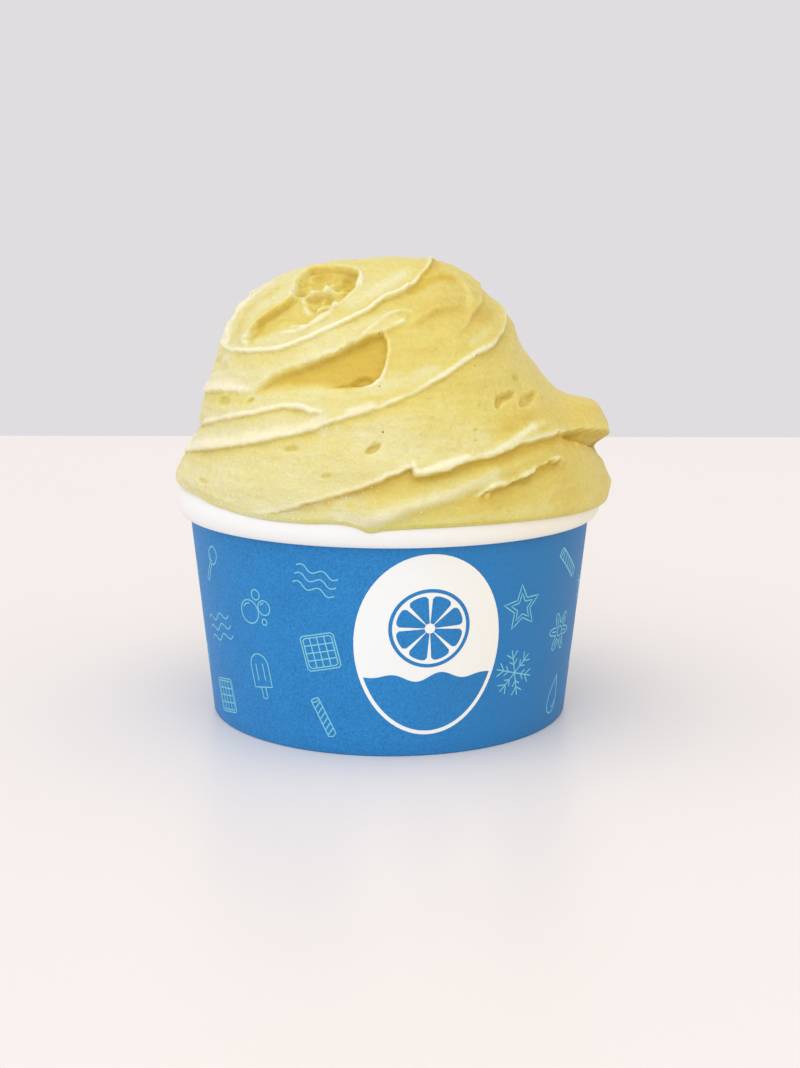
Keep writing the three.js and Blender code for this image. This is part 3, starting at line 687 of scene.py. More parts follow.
# specks of zest, and where frost grains gather: points, half width
specks = {
    "marks": [
        (266, 79.2), (302, 75.1), (300, 73.3), (267, 70.3), (268, 62.3), (341, 72.5), (52, 68.2),
        (118, 60.5), (150, 76.4), (88, 52.4),
    ],
    "size": 0.2,
    "chipSizes": ((0.4, 0.5, 0.4), (0.8, 1.3, 0.7)),
    "chipTones": [(0.3, (0.05, 0.035, 0.02)), (0.7, (0.16, 0.10, 0.04))],
    "clusters": [([(252, 63), (254.6, 62.2)], 1.5), ([(246, 48.4), (254, 49.4), (262, 49)], 2.2)],
    "grainSize": 0.15,
    "grainSizes": (0.45, 1.25),
    "grainTones": [(0.3, (0.88, 0.80, 0.50)), (0.7, (0.95, 0.93, 0.82))],
    "grainsPerSquareMillimetre": 1.2,
    "seed": 5,
}


def bodyKnots():
    mean = sum(np.array(rib) for rib in gelato["ribs"].values()) / len(gelato["ribs"])
    steps = np.hypot(np.diff(mean), np.diff(gelato["ribHeights"]))
    return np.concatenate([[0], np.cumsum(steps)])


knots = bodyKnots()
knotTable = np.linspace(0, knots[-1], 3000)
heightTable = cubicThrough(knots, gelato["ribHeights"], knotTable)


def knotAt(height):
    return np.interp(height, heightTable, knotTable)


def bodyPoint(azimuth, knot):  # azimuth in radians
    c = np.cos(azimuth)
    s = np.sin(azimuth)
    reach = {name: cubicThrough(knots, rib, knot) for name, rib in gelato["ribs"].items()}
    sideways = np.where(c > 0, reach["right"], reach["left"])
    lengthways = np.where(s > 0, reach["back"], reach["front"])
    radius = sideways * c * c + lengthways * s * s
    return np.stack([radius * c, radius * s, cubicThrough(knots, gelato["ribHeights"], knot)], -1)


def bodyNormal(azimuth, knot):
    turn = 0.0005
    step = 0.02
    k = np.clip(knot, 0.05, knots[-1] - 0.05)
    around = bodyPoint(azimuth + turn, k) - bodyPoint(azimuth - turn, k)
    upwards = bodyPoint(azimuth, k + step) - bodyPoint(azimuth, k - step)
    return unit(np.cross(around, upwards))


def onBody(marks):
    azimuth, height = np.array([mark[:2] for mark in marks], float).T
    knot = knotAt(height)
    return bodyPoint(azimuth * degree, knot), bodyNormal(azimuth * degree, knot)


def faceAxes(facing):  # right and up along a surface
    right = unit(np.cross([0, 0, 1.0], facing))
    return right, np.cross(facing, right)


def fromSegment(points, start, end):  # how far each point is from a piece of line
    side = end - start
    share = np.clip((points - start) @ side / (side @ side), 0, 1)
    return np.linalg.norm(points - start - share[:, None] * side, axis=1)


def foldCurve(line, closed):  # Catmull-Rom through the marks, with the lip and recess beside each point
    points, normals = onBody(line)
    values = np.array([mark[2:] for mark in line], float)
    count = len(points)
    curve = []
    facing = []
    sizes = []
    for i in range(count if closed else count - 1):
        j = (i + 1) % count
        b, c = points[i], points[j]
        a = points[i - 1] if closed or i > 0 else 2 * b - c
        d = points[(i + 2) % count] if closed or i + 2 < count else 2 * c - b
        pieces = max(2, int(np.linalg.norm(c - b) / 0.4))
        t = (np.arange(pieces) / pieces)[:, None]
        curve.append(0.5 * (
            2 * b + (c - a) * t + (2 * a - 5 * b + 4 * c - d) * t * t + (3 * b - a - 3 * c + d) * t**3
        ))
        facing.append(normals[i] * (1 - t) + normals[j] * t)
        sizes.append(values[i] * (1 - t) + values[j] * t)
    if not closed:
        curve.append(points[-1:])
        facing.append(normals[-1:])
        sizes.append(values[-1:])
    return np.concatenate(curve), unit(np.concatenate(facing)), np.concatenate(sizes)


class Relief:  # collects how far every point of the heap shifts, and its painted light and shade
    def __init__(self, points, normals):
        self.points = points
        self.normals = normals
        self.shift = np.zeros_like(points)
        self.layer = np.full(len(points), 0.5)  # painted shading: 0 for painted shade in a recess, 1 for a painted highlight on a lip
        self.over = {}
        self.fray = latticeNoise(points, 1.5, 11) + 0.5 * latticeNoise(points, 0.8, 12)
        self.wave = latticeNoise(points, 4.0, 13)
        self.crumbs = latticeNoise(points, 2.0, 21) + 0.6 * latticeNoise(points, 1.0, 22)

    def addFold(self, name, fold):
        closed = fold["closed"]
        curve, facing, sizes = foldCurve(fold["line"], closed)
        ahead = unit(np.roll(curve, -1, 0) - np.roll(curve, 1, 0) if closed else np.gradient(curve, axis=0))
        upwards = unit(np.cross(facing, ahead))
        along = np.concatenate([[0], np.cumsum(np.linalg.norm(np.diff(curve, axis=0), axis=1))])
        nearest = np.concatenate([
            ((curve * curve).sum(1) - 2 * some @ curve.T).argmin(1) for some in np.array_split(self.points, 5)
        ])
        share = along[nearest] / along[-1]
        above, edge, paintedHighlight, paintedLight, paintedShade = (
            evenly(fold[key], share) for key in ("above", "edge", "paintedHighlight", "paintedLight", "paintedShade")
        )
        below = fold["below"]

        offset = self.points - curve[nearest]
        far = np.linalg.norm(offset, axis=1)
        height = (offset * upwards[nearest]).sum(1) + fold["ragged"] * self.fray * smooth(6, 1, far)
        lip, recess = (sizes[nearest] * (1 + 0.3 * self.wave)[:, None]).T
        over = smooth(-edge, edge, height)
        up = np.where(height > 0, far, 0)
        down = np.where(height < 0, far, 0)
        strong = np.clip(lip / 0.35, 0, 1)
        out = over * lip * np.exp(-(up / above) ** 1.4) - (1 - over) * recess * np.exp(-down / below)
        out += fold["bead"] * strong * np.exp(-((height - 0.5) / 0.42) ** 2)
        out -= over * fold["dish"] * (1 - np.exp(-up / fold["dishReach"])) * np.exp(-up / 7)
        drop = over * np.exp(-up / (0.8 * above)) * fold["droop"] * strong

        if closed:
            weight = np.where(self.points[:, 2] > 70, 1, 1 - smooth(8, 14, far))
        else:
            past = (offset * ahead[nearest]).sum(1)
            weight = 1 - smooth(*fold["reach"], far)
            weight *= np.where(nearest == 0, 1 - smooth(0, 1.2, -past), 1)
            weight *= np.where(nearest == len(curve) - 1, 1 - smooth(0, 1.2, past), 1)
        self.over[name] = over
        self.shift += (out * weight)[:, None] * self.normals - (drop * weight)[:, None] * upwards[nearest]
        # painted highlight along the lip, painted light above it and painted shade in the recess below
        paintedHighlight = paintedHighlight * (1 + 0.5 * self.wave) * strong * over * np.exp(-((height - 0.35) / 0.4) ** 2)
        paintedLight = paintedLight * strong * over * np.exp(-up / above)
        paintedShade = paintedShade * np.clip(recess / 0.3, 0, 1) * (1 - over) * np.exp(-down / (0.6 * below))
        self.layer += weight * (0.5 * paintedHighlight + paintedLight - paintedShade)

    def addScoop(self, scoop):
        points, normals = onBody(scoop["corners"])
        rough, softs = scoop["rough"], scoop["soft"]
        centre = points.mean(0)
        facing = unit(normals.mean(0))
        axes = np.stack(faceAxes(facing), 1)
        outline = (points - centre) @ axes
        offset = self.points - centre
        flat = offset @ axes + (0.2 * rough + 0.06) * self.fray[:, None]
        inside = np.zeros(len(flat), bool)
        weight = np.ones(len(flat))
        crisp = np.full(len(flat), 100.0)
        for i, corner in enumerate(outline):
            following = outline[(i + 1) % len(outline)]
            side = following - corner
            distance = fromSegment(flat, corner, following)
            soft = softs[i % len(softs)]
            weight = np.minimum(weight, smooth(0, soft, distance))
            if soft < 1:
                crisp = np.minimum(crisp, distance)
            crosses = (corner[1] > flat[:, 1]) != (following[1] > flat[:, 1])
            crossing = corner[0] + (flat[:, 1] - corner[1]) / (side[1] + 1e-9) * side[0]
            inside ^= crosses & (flat[:, 0] < crossing)
        near = (offset @ facing > -12) * (1 - self.over.get(scoop.get("under"), 0))
        weight *= inside * near
        # a raised rim outside the crisp sides, which is also painted lighter as a painted highlight; inside
        # the scoop the colour gets painted shade
        rim = scoop["rim"] * ~inside * near * np.exp(-((crisp - 0.2) / 0.45) ** 2) * (1 + 0.5 * self.wave)
        depth = weight * (scoop["depth"] + rough * self.crumbs) - rim
        self.shift -= depth[:, None] * self.normals
        self.layer += 1.1 * rim - weight * (scoop["paintedShade"] + 0.2 * rough * self.crumbs)

    def addOval(self, azimuth, height, halfLength, halfHeight, turn, out):
        (centre,), (facing,) = onBody([(azimuth, height)])
        right, upwards = faceAxes(facing)
        offset = self.points - centre
        c, s = math.cos(turn * degree), math.sin(turn * degree)
        across, rise = offset @ right, offset @ upwards
        distance = np.hypot((across * c + rise * s) / halfLength, (rise * c - across * s) / halfHeight)
        front = offset @ facing > (-4 if halfLength < 6 else -12)
        if out < 0:
            weight = (1 - smooth(0.6, 1.15, distance + 0.12 * self.fray)) * front
            # pits get painted shade
            self.layer -= 0.45 * min(-out, 0.9) * weight
        else:
            weight = np.exp(-distance**2) * front
        self.shift += (out * weight)[:, None] * facing

    def nearLine(self, marks, halfWidth):  # 1 on the line, falling off at half its width
        points, normals = onBody(marks)
        far = np.min([fromSegment(self.points, a, b) for a, b in zip(points[:-1], points[1:])], axis=0)
        return np.exp(-(np.maximum(far + 0.2 * self.fray, 0) / halfWidth) ** 2), unit(normals.mean(0))

    def addRidge(self, marks, halfWidth, out):
        weight, facing = self.nearLine(marks, halfWidth)
        self.shift += (out * weight)[:, None] * facing
        # raised ridges get a painted highlight, grooves painted shade
        self.layer += 0.35 * weight * min(out + 0.3, 1)

    def addLobe(self):
        azimuth = np.arctan2(self.points[:, 1], self.points[:, 0])
        turn = (azimuth - lobe["azimuth"] * degree + math.pi) % (2 * math.pi) - math.pi
        across = turn * np.hypot(self.points[:, 0], self.points[:, 1]) / lobe["halfLength"]
        rise = (self.points[:, 2] - lobe["height"] + 0.25 * self.wave) / lobe["halfHeight"]
        out = lobe["out"] * np.exp(-np.hypot(across, rise) ** 4)
        self.shift += out[:, None] * np.stack([np.cos(azimuth), np.sin(azimuth), 0 * out], -1)

    def addAll(self):
        for name, fold in folds.items():
            self.addFold(name, plainFold | fold)
        for scoop in scoops.values():
            self.addScoop(scoop)
        for *place, depth in pits:
            self.addOval(*place, -depth)
        for swell in swells:
            self.addOval(*swell)
        for ridge in ridges:
            self.addRidge(*ridge)
        for marks, halfWidth, amount in lightAndShadeBands:
            self.layer += amount * self.nearLine(marks, halfWidth)[0]
        self.addLobe()


def hangAt(azimuth):
    marks = np.array(gelato["hang"], float)
    turns = np.concatenate([marks[:, 0] - 360, marks[:, 0], marks[:, 0] + 360])
    return cubicThrough(turns, np.tile(marks[:, 1], 3), (azimuth / degree) % 360)


cup = {
    "footRadius": 36.9,
    "topRadius": 41.1,
    "wallTop": 41.5,
    "paper": 0.45,
    "recess": 5.0,
    "discThickness": 0.6,
    "skirtDepth": 1.2,
    "footRound": 0.35,
    "rollRadius": 41.9,  # to the middle of the rolled rim
    "rollOut": 1.6,
    "rollIn": 1.0,
    "rollHalfHeight": 3.3,
    "rollHeight": cupTop / mm - 3.3,
    "segments": 288,
    "seamAzimuth": 96,
    "seamStep": 0.32,
    "seamWidth": 7,
    "knurls": 90,
    "knurlDepth": 0.16,
}


def wallRadius(height):
    return cup["footRadius"] + (cup["topRadius"] - cup["footRadius"]) * height / cup["wallTop"]


def undersideRows(azimuth, hang):  # inside the cup, over the roll and down to the edge that hangs on it
    snug = 0.04
    rows = []
    floor = cup["recess"] + cup["discThickness"] + snug
    reachLimit = cup["rollRadius"] - cup["rollIn"] - snug
    for height in np.linspace(floor, cup["rollHeight"], 4):
        rows.append((min(wallRadius(height) - cup["paper"] - snug, reachLimit), height))
    rise = cup["rollHalfHeight"] + snug
    for angle in np.linspace(math.pi, math.pi / 2, 5)[1:]:
        reach = cup["rollRadius"] + (cup["rollIn"] + snug) * math.cos(angle)
        rows.append((reach, cup["rollHeight"] + rise * math.sin(angle)))
    lowest = np.arcsin((hang - cup["rollHeight"]) / rise)
    for share in np.linspace(0, 1, 7)[1:]:
        angle = math.pi / 2 + (lowest - math.pi / 2) * share
        reach = cup["rollRadius"] + (cup["rollOut"] + snug) * np.cos(angle)
        rows.append((reach, cup["rollHeight"] + rise * np.sin(angle)))
    return [np.stack([reach * np.cos(azimuth), reach * np.sin(azimuth), height + 0 * hang], -1)
            for reach, height in rows]


def makeGelato():
    columns = gelato["columns"]
    turn = np.linspace(0, 2 * np.pi, columns, endpoint=False)
    azimuth = turn - gelato["frontCrowding"] * np.cos(turn)
    hang = hangAt(azimuth)
    under = undersideRows(azimuth, hang)

    share = np.linspace(0, 1, gelato["bodyRows"] + 1)[:-1, None]
    start = knotAt(hang + gelato["edgeHeight"])[None]
    climb = 4 * gelato["rowClimb"] * share * (1 - share) * np.cos(azimuth)[None]
    knot = start + (knots[-1] - start) * (share + climb)
    turned = np.repeat(azimuth[None], len(share), 0)
    points = bodyPoint(turned, knot).reshape(-1, 3)
    normals = bodyNormal(turned, knot).reshape(-1, 3)
    summit = np.array([[0, 0, gelato["ribHeights"][-1]]])
    relief = Relief(np.concatenate([points, summit]), np.concatenate([normals, [[0, 0, 1.0]]]))
    relief.addAll()

    # strokes run round the heap, so this place changes fast across them and slowly along them
    across = np.concatenate([knot.ravel(), [knots[-1]]])
    around = np.concatenate([turned.ravel(), [0]])
    stroke = np.stack([8 * np.cos(around), 8 * np.sin(around), across], -1)
    calm = smooth(3, 12, np.hypot(relief.points[:, 0], relief.points[:, 1]))  # none of it at the pole
    uneven = gelato["swell"] * latticeNoise(stroke, 4.5, 31)
    uneven += gelato["streak"] * latticeNoise(stroke, 1.0, 32)
    uneven = uneven * calm + gelato["lumps"] * latticeNoise(relief.points, 1.6, 33)
    relief.shift += relief.normals * uneven[:, None]
    above = relief.points[:, 2] - np.concatenate([np.tile(hang, len(share)), [0]])
    relief.shift *= smooth(*gelato["settled"], above)[:, None]
    surface = relief.points + relief.shift
    body = surface[:-1].reshape(len(share), columns, 3)

    inner = under[-1]
    outer = body[0]
    edge = []
    for j in range(1, gelato["edgeRows"] + 1):  # a quarter round from the roll out to the body
        angle = 0.5 * math.pi * j / (gelato["edgeRows"] + 1)
        level = inner + (outer - inner) * math.sin(angle)
        level[:, 2] = inner[:, 2] + (outer[:, 2] - inner[:, 2]) * (1 - math.cos(angle))
        edge.append(level)
    rings = np.concatenate([np.stack(under + edge), body])
    vertices = np.concatenate([rings.reshape(-1, 3), [[0, 0, rings[0, 0, 2]]], surface[-1:]])

    a = np.arange(columns)
    b = (a + 1) % columns
    level = np.arange(len(rings) - 1)[:, None] * columns
    quads = np.stack([level + a, level + b, level + b + columns, level + a + columns], -1).reshape(-1, 4)
    bottom = len(rings) * columns
    last = bottom - columns
    fans = [(bottom, j, i) for i, j in zip(a.tolist(), b.tolist())]
    fans += [(last + i, last + j, bottom + 1) for i, j in zip(a.tolist(), b.tolist())]
    piece = meshObject("gelatoHeap", vertices, quads.tolist() + fans)
    piece.data.shade_smooth()

    low = 1 - smooth(48, 64, surface[:, 2])
    left = smooth(10, -30, surface[:, 0]) * smooth(20, -10, surface[:, 1])
    frost = 0.45 * low * left * (0.8 + 0.5 * latticeNoise(surface, 6, 41))
    for marks, halfWidth in specks["clusters"]:
        frost += relief.nearLine(marks, halfWidth)[0] * (0.7 + latticeNoise(surface, 1.5, 42))

    def painted(values, fill):  # the rings in the cup get the fill
        return np.concatenate([np.full(bottom + 1 - len(values), fill), values[:-1], [fill], values[-1:]])

    paintMesh(piece.data, "layer", painted(np.clip(relief.layer, 0, 1), 0.5))
    paintMesh(piece.data, "frost", painted(np.clip(frost, 0, 1), 0))
    spread = np.stack([painted(places, 0) for places in stroke.T], -1) * mm
    paintMesh(piece.data, "stroke", spread, "FLOAT_VECTOR", "vector")
    piece.data.materials.append(creamMaterial())
    return piece


heap = makeGelato()
settle(heap, "gelato")
print("gelato done:", len(heap.data.polygons), "faces")


# the paper cup: profiles turned by nodes, with the wall's overlap at the back

def seamRise(tree, azimuth, given):  # how far the paper stands out where it overlaps
    ramp = addNode(tree, "ShaderNodeMapRange", {
        "Value": ("FLOORED_MODULO", ("SUBTRACT", given["Seam Azimuth"], azimuth), 2 * math.pi),
        "From Max": given["Seam Width"], "To Min": given["Seam Step"], "To Max": 0.0,
    }, interpolation_type="SMOOTHSTEP")
    return ramp.outputs["Result"]


def roundAxis(tree, radius, azimuth, height):
    return addNode(tree, "ShaderNodeCombineXYZ", {
        "X": ("MULTIPLY", radius, ("COSINE", azimuth)),
        "Y": ("MULTIPLY", radius, ("SINE", azimuth)),
        "Z": height,
    }).outputs[0]


def turnTree():
    tree, given = newTree(
        "turnedPaper", Int=["Segments", "Knurls"], Material=["Finish"],
        Float=["Seam Azimuth", "Seam Step", "Seam Width", "Knurl Depth", "Knurl Radius"],
    )
    counted = addNode(tree, "GeometryNodeAttributeDomainSize", {"Geometry": given["Geometry"]})
    count = counted.outputs["Point Count"]
    columns = calculate(tree, "ADD", given["Segments"], 1)
    grid, column, row = numberedGrid(tree, columns, calculate(tree, "ADD", count, 1))
    sample = addNode(tree, "GeometryNodeSampleIndex", {
        "Geometry": given["Geometry"], "Value": positionOf(tree),
        "Index": ("FLOOR", ("FLOORED_MODULO", ("ADD", row, 0.25), count)),
    }, data_type="FLOAT_VECTOR")
    profile = partsOf(tree, sample.outputs[0])
    azimuth = calculate(tree, "MULTIPLY", ("DIVIDE", column, given["Segments"]), 2 * math.pi)
    outside = calculate(tree, "GREATER_THAN", profile["X"], given["Knurl Radius"])
    rise = ("MULTIPLY", seamRise(tree, azimuth, given), outside)
    wave = ("MULTIPLY", ("SINE", ("MULTIPLY", azimuth, given["Knurls"])), given["Knurl Depth"])
    knurl = ("MULTIPLY", wave, ("SUBTRACT", 1.0, outside))
    radius = ("ADD", ("ADD", profile["X"], rise), knurl)
    radius = calculate(tree, "MULTIPLY", radius, ("GREATER_THAN", profile["X"], 1e-7))  # a pole stays one
    placed = movedTo(tree, grid, roundAxis(tree, radius, azimuth, profile["Z"]))
    merged = addNode(tree, "GeometryNodeMergeByDistance", {"Geometry": placed, "Distance": 1e-6})
    outwards = addNode(tree, "GeometryNodeFlipFaces", {"Mesh": merged.outputs[0]})
    return finishTree(tree, outwards.outputs[0], given["Finish"])


def wallProfile():  # up the inside, down the outside, round the foot and up into the folded skirt
    foot = cup["footRound"]
    skirt = cup["footRadius"] - cup["skirtDepth"]
    lining = skirt + cup["paper"]
    top = cup["wallTop"]
    edge = cup["recess"] - 0.4
    return [
        *[(wallRadius(z), z) for z in np.linspace(top, foot, 14)],
        *arc((cup["footRadius"] - foot, foot), foot, foot, 0, -90, 4)[1:],
        *arc((skirt + foot, foot), foot, foot, -90, -180, 4),
        (skirt, 2.5), (skirt, edge), (lining, edge),
        (lining, foot + 0.2), (cup["footRadius"] - cup["paper"], foot + 0.2),
        *[(wallRadius(z) - cup["paper"], z) for z in np.linspace(4, top, 4)],
    ]


def rimProfile():
    centre = (cup["rollRadius"], cup["rollHeight"])
    outer = arc(centre, cup["rollOut"], cup["rollHalfHeight"], -112, 90, 22)
    inner = arc(centre, cup["rollIn"], cup["rollHalfHeight"], 90, 212, 10)[1:]
    return (outer + inner)[::-1]


def baseProfile():
    skirt = cup["footRadius"] - cup["skirtDepth"] - 0.02
    low = cup["recess"]
    high = low + cup["discThickness"]
    bend = 0.6
    edge = arc((skirt - bend, low - bend), bend, bend, 0, 90, 4)
    return [(0, high), (skirt, high), (skirt, low - bend), *edge[1:], (skirt / 2, low), (0, low)]


blueInk = (paper["blue"], darker(paper["blue"], 0.6), 0.5)
white = paper["white"]
finishes = {
    "wall": paperMaterial("printedBlue", *blueInk, 0.14, 2.6, paper["paintedShadeBlue"]),
    "rim": paperMaterial("rolledWhite", white, paper["fibre"], 0.55, 0.03, aside=paper["paintedReflectionWhite"]),
    "base": paperMaterial("baseBoard", darker(white, 0.94), darker(paper["fibre"], 0.9), 0.7, 0.05),
    "teal": paperMaterial("tealInk", paper["teal"], darker(paper["teal"], 0.85), 0.45, 0.03),
    "badge": paperMaterial("whiteInk", white, darker(white, 0.95), 0.5, 0.04, aside=paper["paintedReflectionWhite"]),
    "badgeBlue": paperMaterial("badgeBlue", *blueInk, 0.1, 2.6, paper["paintedShadeBlue"]),
}
seam = {
    "Seam Azimuth": cup["seamAzimuth"] * degree,
    "Seam Width": cup["seamWidth"] / cup["topRadius"],
}


def makeCup():
    tree = turnTree()
    cupPieces = {
        "paperWall": (wallProfile(), {
            "Segments": cup["segments"] * 2, "Seam Step": cup["seamStep"] * mm, "Knurls": cup["knurls"],
            "Knurl Depth": cup["knurlDepth"] * mm, "Finish": finishes["wall"],
            "Knurl Radius": (cup["footRadius"] - cup["skirtDepth"] + 0.1) * mm,
        }),
        "rolledRim": (rimProfile(), {
            "Segments": cup["segments"], "Seam Step": 0.6 * cup["seamStep"] * mm, "Finish": finishes["rim"],
        }),
        "cupBase": (baseProfile(), {"Segments": cup["segments"] // 2, "Finish": finishes["base"]}),
    }
    for name, (profile, values) in cupPieces.items():
        outline = meshObject("profile", [(reach, 0, height) for reach, height in profile])
        settle(growPiece(name, outline, tree, seam | values), "cup")


makeCup()
print("cup done")


# the print: small line motifs in staggered columns, and an oval badge, wrapped on the wall

motifStyle = {
    "size": 9.4,
    "columns": 18,
    "rows": 3,
    "rowPitch": 13.6,
    "lowest": 7.2,
    "line": 0.22,
    "ink": 0.05,
    "step": 1.1,  # longest straight piece, so that the lines bend with the wall
    "turnJitter": 0.35,
    "shiftJitter": 0.7,
    "sizes": (0.86, 1.06),
    "aroundBadge": 4.4,
    "belowRim": 3.5,
    "seed": 7,
}

badge = {
    "azimuth": 281.0,
    "height": 22.2,
    "halfWidth": 14.2,
    "halfHeight": 17.8,
    "ink": 0.05,
    "border": 0.8,
    "tide": -6.2,  # where the blue foot of the badge begins
    "tideSwell": 0.9,
    "wheelRadius": 7.7,
    "wheelRise": 3.4,
    "wedges": 8,
}


def turnedLines(lines, angle):
    c, s = math.cos(angle * degree), math.sin(angle * degree)
    return [[(x * c - y * s, x * s + y * c) for x, y in line] for line in lines]


def fanned(lines, count):
    return [line for k in range(count) for line in turnedLines(lines, 60 * k)]


def scaled(line, share):
    return [(share * x, share * y) for x, y in line]


def stick(halfWidth, top, low):
    return [(-halfWidth, top), (-halfWidth, low), (0, -1), (halfWidth, low), (halfWidth, top)]


# each motif is a list of lines in a square two units across

def snowflakeLines():
    barbs = [[(-0.28, 0.9), (0, 0.62), (0.28, 0.9)], [(-0.2, 0.55), (0, 0.36), (0.2, 0.55)]]
    return fanned([[(0, -1), (0, 1)]], 3) + fanned(barbs, 6)


def lollipopLines():
    turns = np.linspace(0, 4.6 * math.pi, 56)
    spiral = [(0.04 * t * math.cos(t), 0.38 + 0.04 * t * math.sin(t)) for t in turns]
    return [spiral, arc((0, 0.38), 0.62, 0.62, 0, 360, 30), stick(0.06, -0.24, -0.97)]


def waferLines():
    side, cut = 0.72, 0.6192
    corner = [(side, cut), (cut, side)]
    corners = [*corner, *[(-x, y) for x, y in corner[::-1]], *[(-x, -y) for x, y in corner],
               *[(x, -y) for x, y in corner[::-1]], corner[0]]
    bars = [[[(k, -0.62), (k, 0.62)], [(-0.62, k), (0.62, k)]] for k in (-0.31, 0, 0.31)]
    return [corners, scaled(corners, 0.86)] + sum(bars, [])


def starLines():
    star = [(reach * math.cos(t), reach * math.sin(t))
            for reach, t in zip([1, 0.45] * 5 + [1], np.radians(np.arange(90, 451, 36)))]
    return [star, scaled(star, 0.62)]


def dropLines():
    angles = np.linspace(0, 2 * math.pi, 33)
    drop = [(0.62 * math.sin(t) * (0.5 - 0.5 * math.cos(t)) ** 0.6, 0.95 * math.cos(t)) for t in angles]
    return [drop, arc((0, -0.34), 0.34, 0.34, -70, 10, 6)]


def waveLines():
    xs = np.linspace(-1, 1, 25)
    return [[(x, 0.42 * k + 0.13 * math.sin(2 * math.pi * x)) for x in xs] for k in (-1, 0, 1)]


def icePopLines():
    body = [(0.5, -0.5), *arc((0, 0.42), 0.5, 0.5, 0, 180, 12), (-0.5, -0.5), (0.5, -0.5)]
    return [body, stick(0.12, -0.5, -0.94), [(-0.2, -0.22), (-0.2, 0.5)], [(0.2, -0.22), (0.2, 0.5)]]


def flowerLines():
    reaches = [(0.68 + 0.3 * math.cos(6 * t), t) for t in np.linspace(0, 2 * math.pi, 61)]
    petals = [(reach * math.cos(t), reach * math.sin(t)) for reach, t in reaches]
    return [petals, arc((0, 0), 0.24, 0.24, 0, 360, 12)] + fanned([[(0.36, 0), (0.74, 0)]], 6)


def spoonLines():
    bowl = arc((0, 0.52), 0.36, 0.468, 0, 360, 20)
    gleam = arc((0, 0.52), 0.24, 0.312, 198, 288, 5)
    handle = [(-0.07, 0.06), (-0.10, -0.86), (-0.06, -0.97), (0.06, -0.97), (0.10, -0.86), (0.07, 0.06)]
    return turnedLines([bowl, gleam, handle], -24)


def bubbleLines():
    bubbles = [((-0.3, -0.3), 0.55), ((0.52, 0.16), 0.34), ((-0.02, 0.62), 0.24), ((0.62, -0.5), 0.14)]
    gleams = [((-0.3, -0.3), 0.4), ((0.52, 0.16), 0.22)]
    step = 360 / 22
    return ([arc(centre, reach, reach, 0, 360, 22) for centre, reach in bubbles]
            + [arc(centre, reach, reach, 6 * step, 10 * step, 4) for centre, reach in gleams])


def rollLines():
    side = [(-0.2, 0.83), (-0.2, -0.86), (0, -0.94), (0.2, -0.86), (0.2, 0.83)]
    turns = [[(-0.2, y), (0.2, y + 0.22)] for y in np.linspace(-0.8, 0.5, 6)]
    return turnedLines([arc((0, 0.86), 0.2, 0.08, 0, 360, 14), side] + turns, 32)


motifMakers = [
    snowflakeLines, lollipopLines, waferLines, starLines, dropLines, waveLines, icePopLines, flowerLines,
    spoonLines, bubbleLines, rollLines,
]


def finely(line, step):
    fine = [line[0]]
    for start, end in zip(line[:-1], line[1:]):
        count = math.ceil(math.dist(start, end) / step)
        fine += [tuple(a + (b - a) * k / count for a, b in zip(start, end)) for k in range(1, count + 1)]
    return fine


def motifCollection():
    shelf = bpy.data.collections.new("motifs")
    bpy.context.scene.collection.children.link(shelf)
    scale = motifStyle["size"] / 2
    for i, maker in enumerate(motifMakers):
        points = []
        edges = []
        for line in maker():
            line = finely(line, motifStyle["step"] / scale)
            closed = math.dist(line[0], line[-1]) < 1e-6
            if closed:
                line.pop()
            first = len(points)
            points += [(x * scale, y * scale, 0) for x, y in line]
            edges += [(first + k, first + (k + 1) % len(line)) for k in range(len(line) - (not closed))]
        piece = meshObject(f"motif{i:02}", points, edges=edges)
        bpy.context.scene.collection.objects.unlink(piece)
        shelf.objects.link(piece)
    return shelf


wallInputs = ["Azimuth", "Foot Radius", "Top Radius", "Wall Top", "Seam Azimuth", "Seam Step", "Seam Width"]
wallValues = seam | {
    "Foot Radius": cup["footRadius"] * mm, "Top Radius": cup["topRadius"] * mm,
    "Wall Top": cup["wallTop"] * mm, "Seam Step": cup["seamStep"] * mm,
}


def wrapOnWall(tree, geometry, given):  # x runs round the wall, y up it and z out of the paper
    foot, top = given["Foot Radius"], given["Top Radius"]
    flat = partsOf(tree, positionOf(tree))
    middle = ("MULTIPLY", ("ADD", foot, top), 0.5)
    azimuth = calculate(tree, "ADD", given["Azimuth"], ("DIVIDE", flat["X"], middle))
    wall = ("MULTIPLY_ADD", ("DIVIDE", ("SUBTRACT", top, foot), given["Wall Top"]), flat["Y"], foot)
    radius = calculate(tree, "ADD", ("ADD", wall, flat["Z"]), seamRise(tree, azimuth, given))
    placed = movedTo(tree, geometry, roundAxis(tree, radius, azimuth, flat["Y"]))
    return finishTree(tree, placed, given["Finish"])


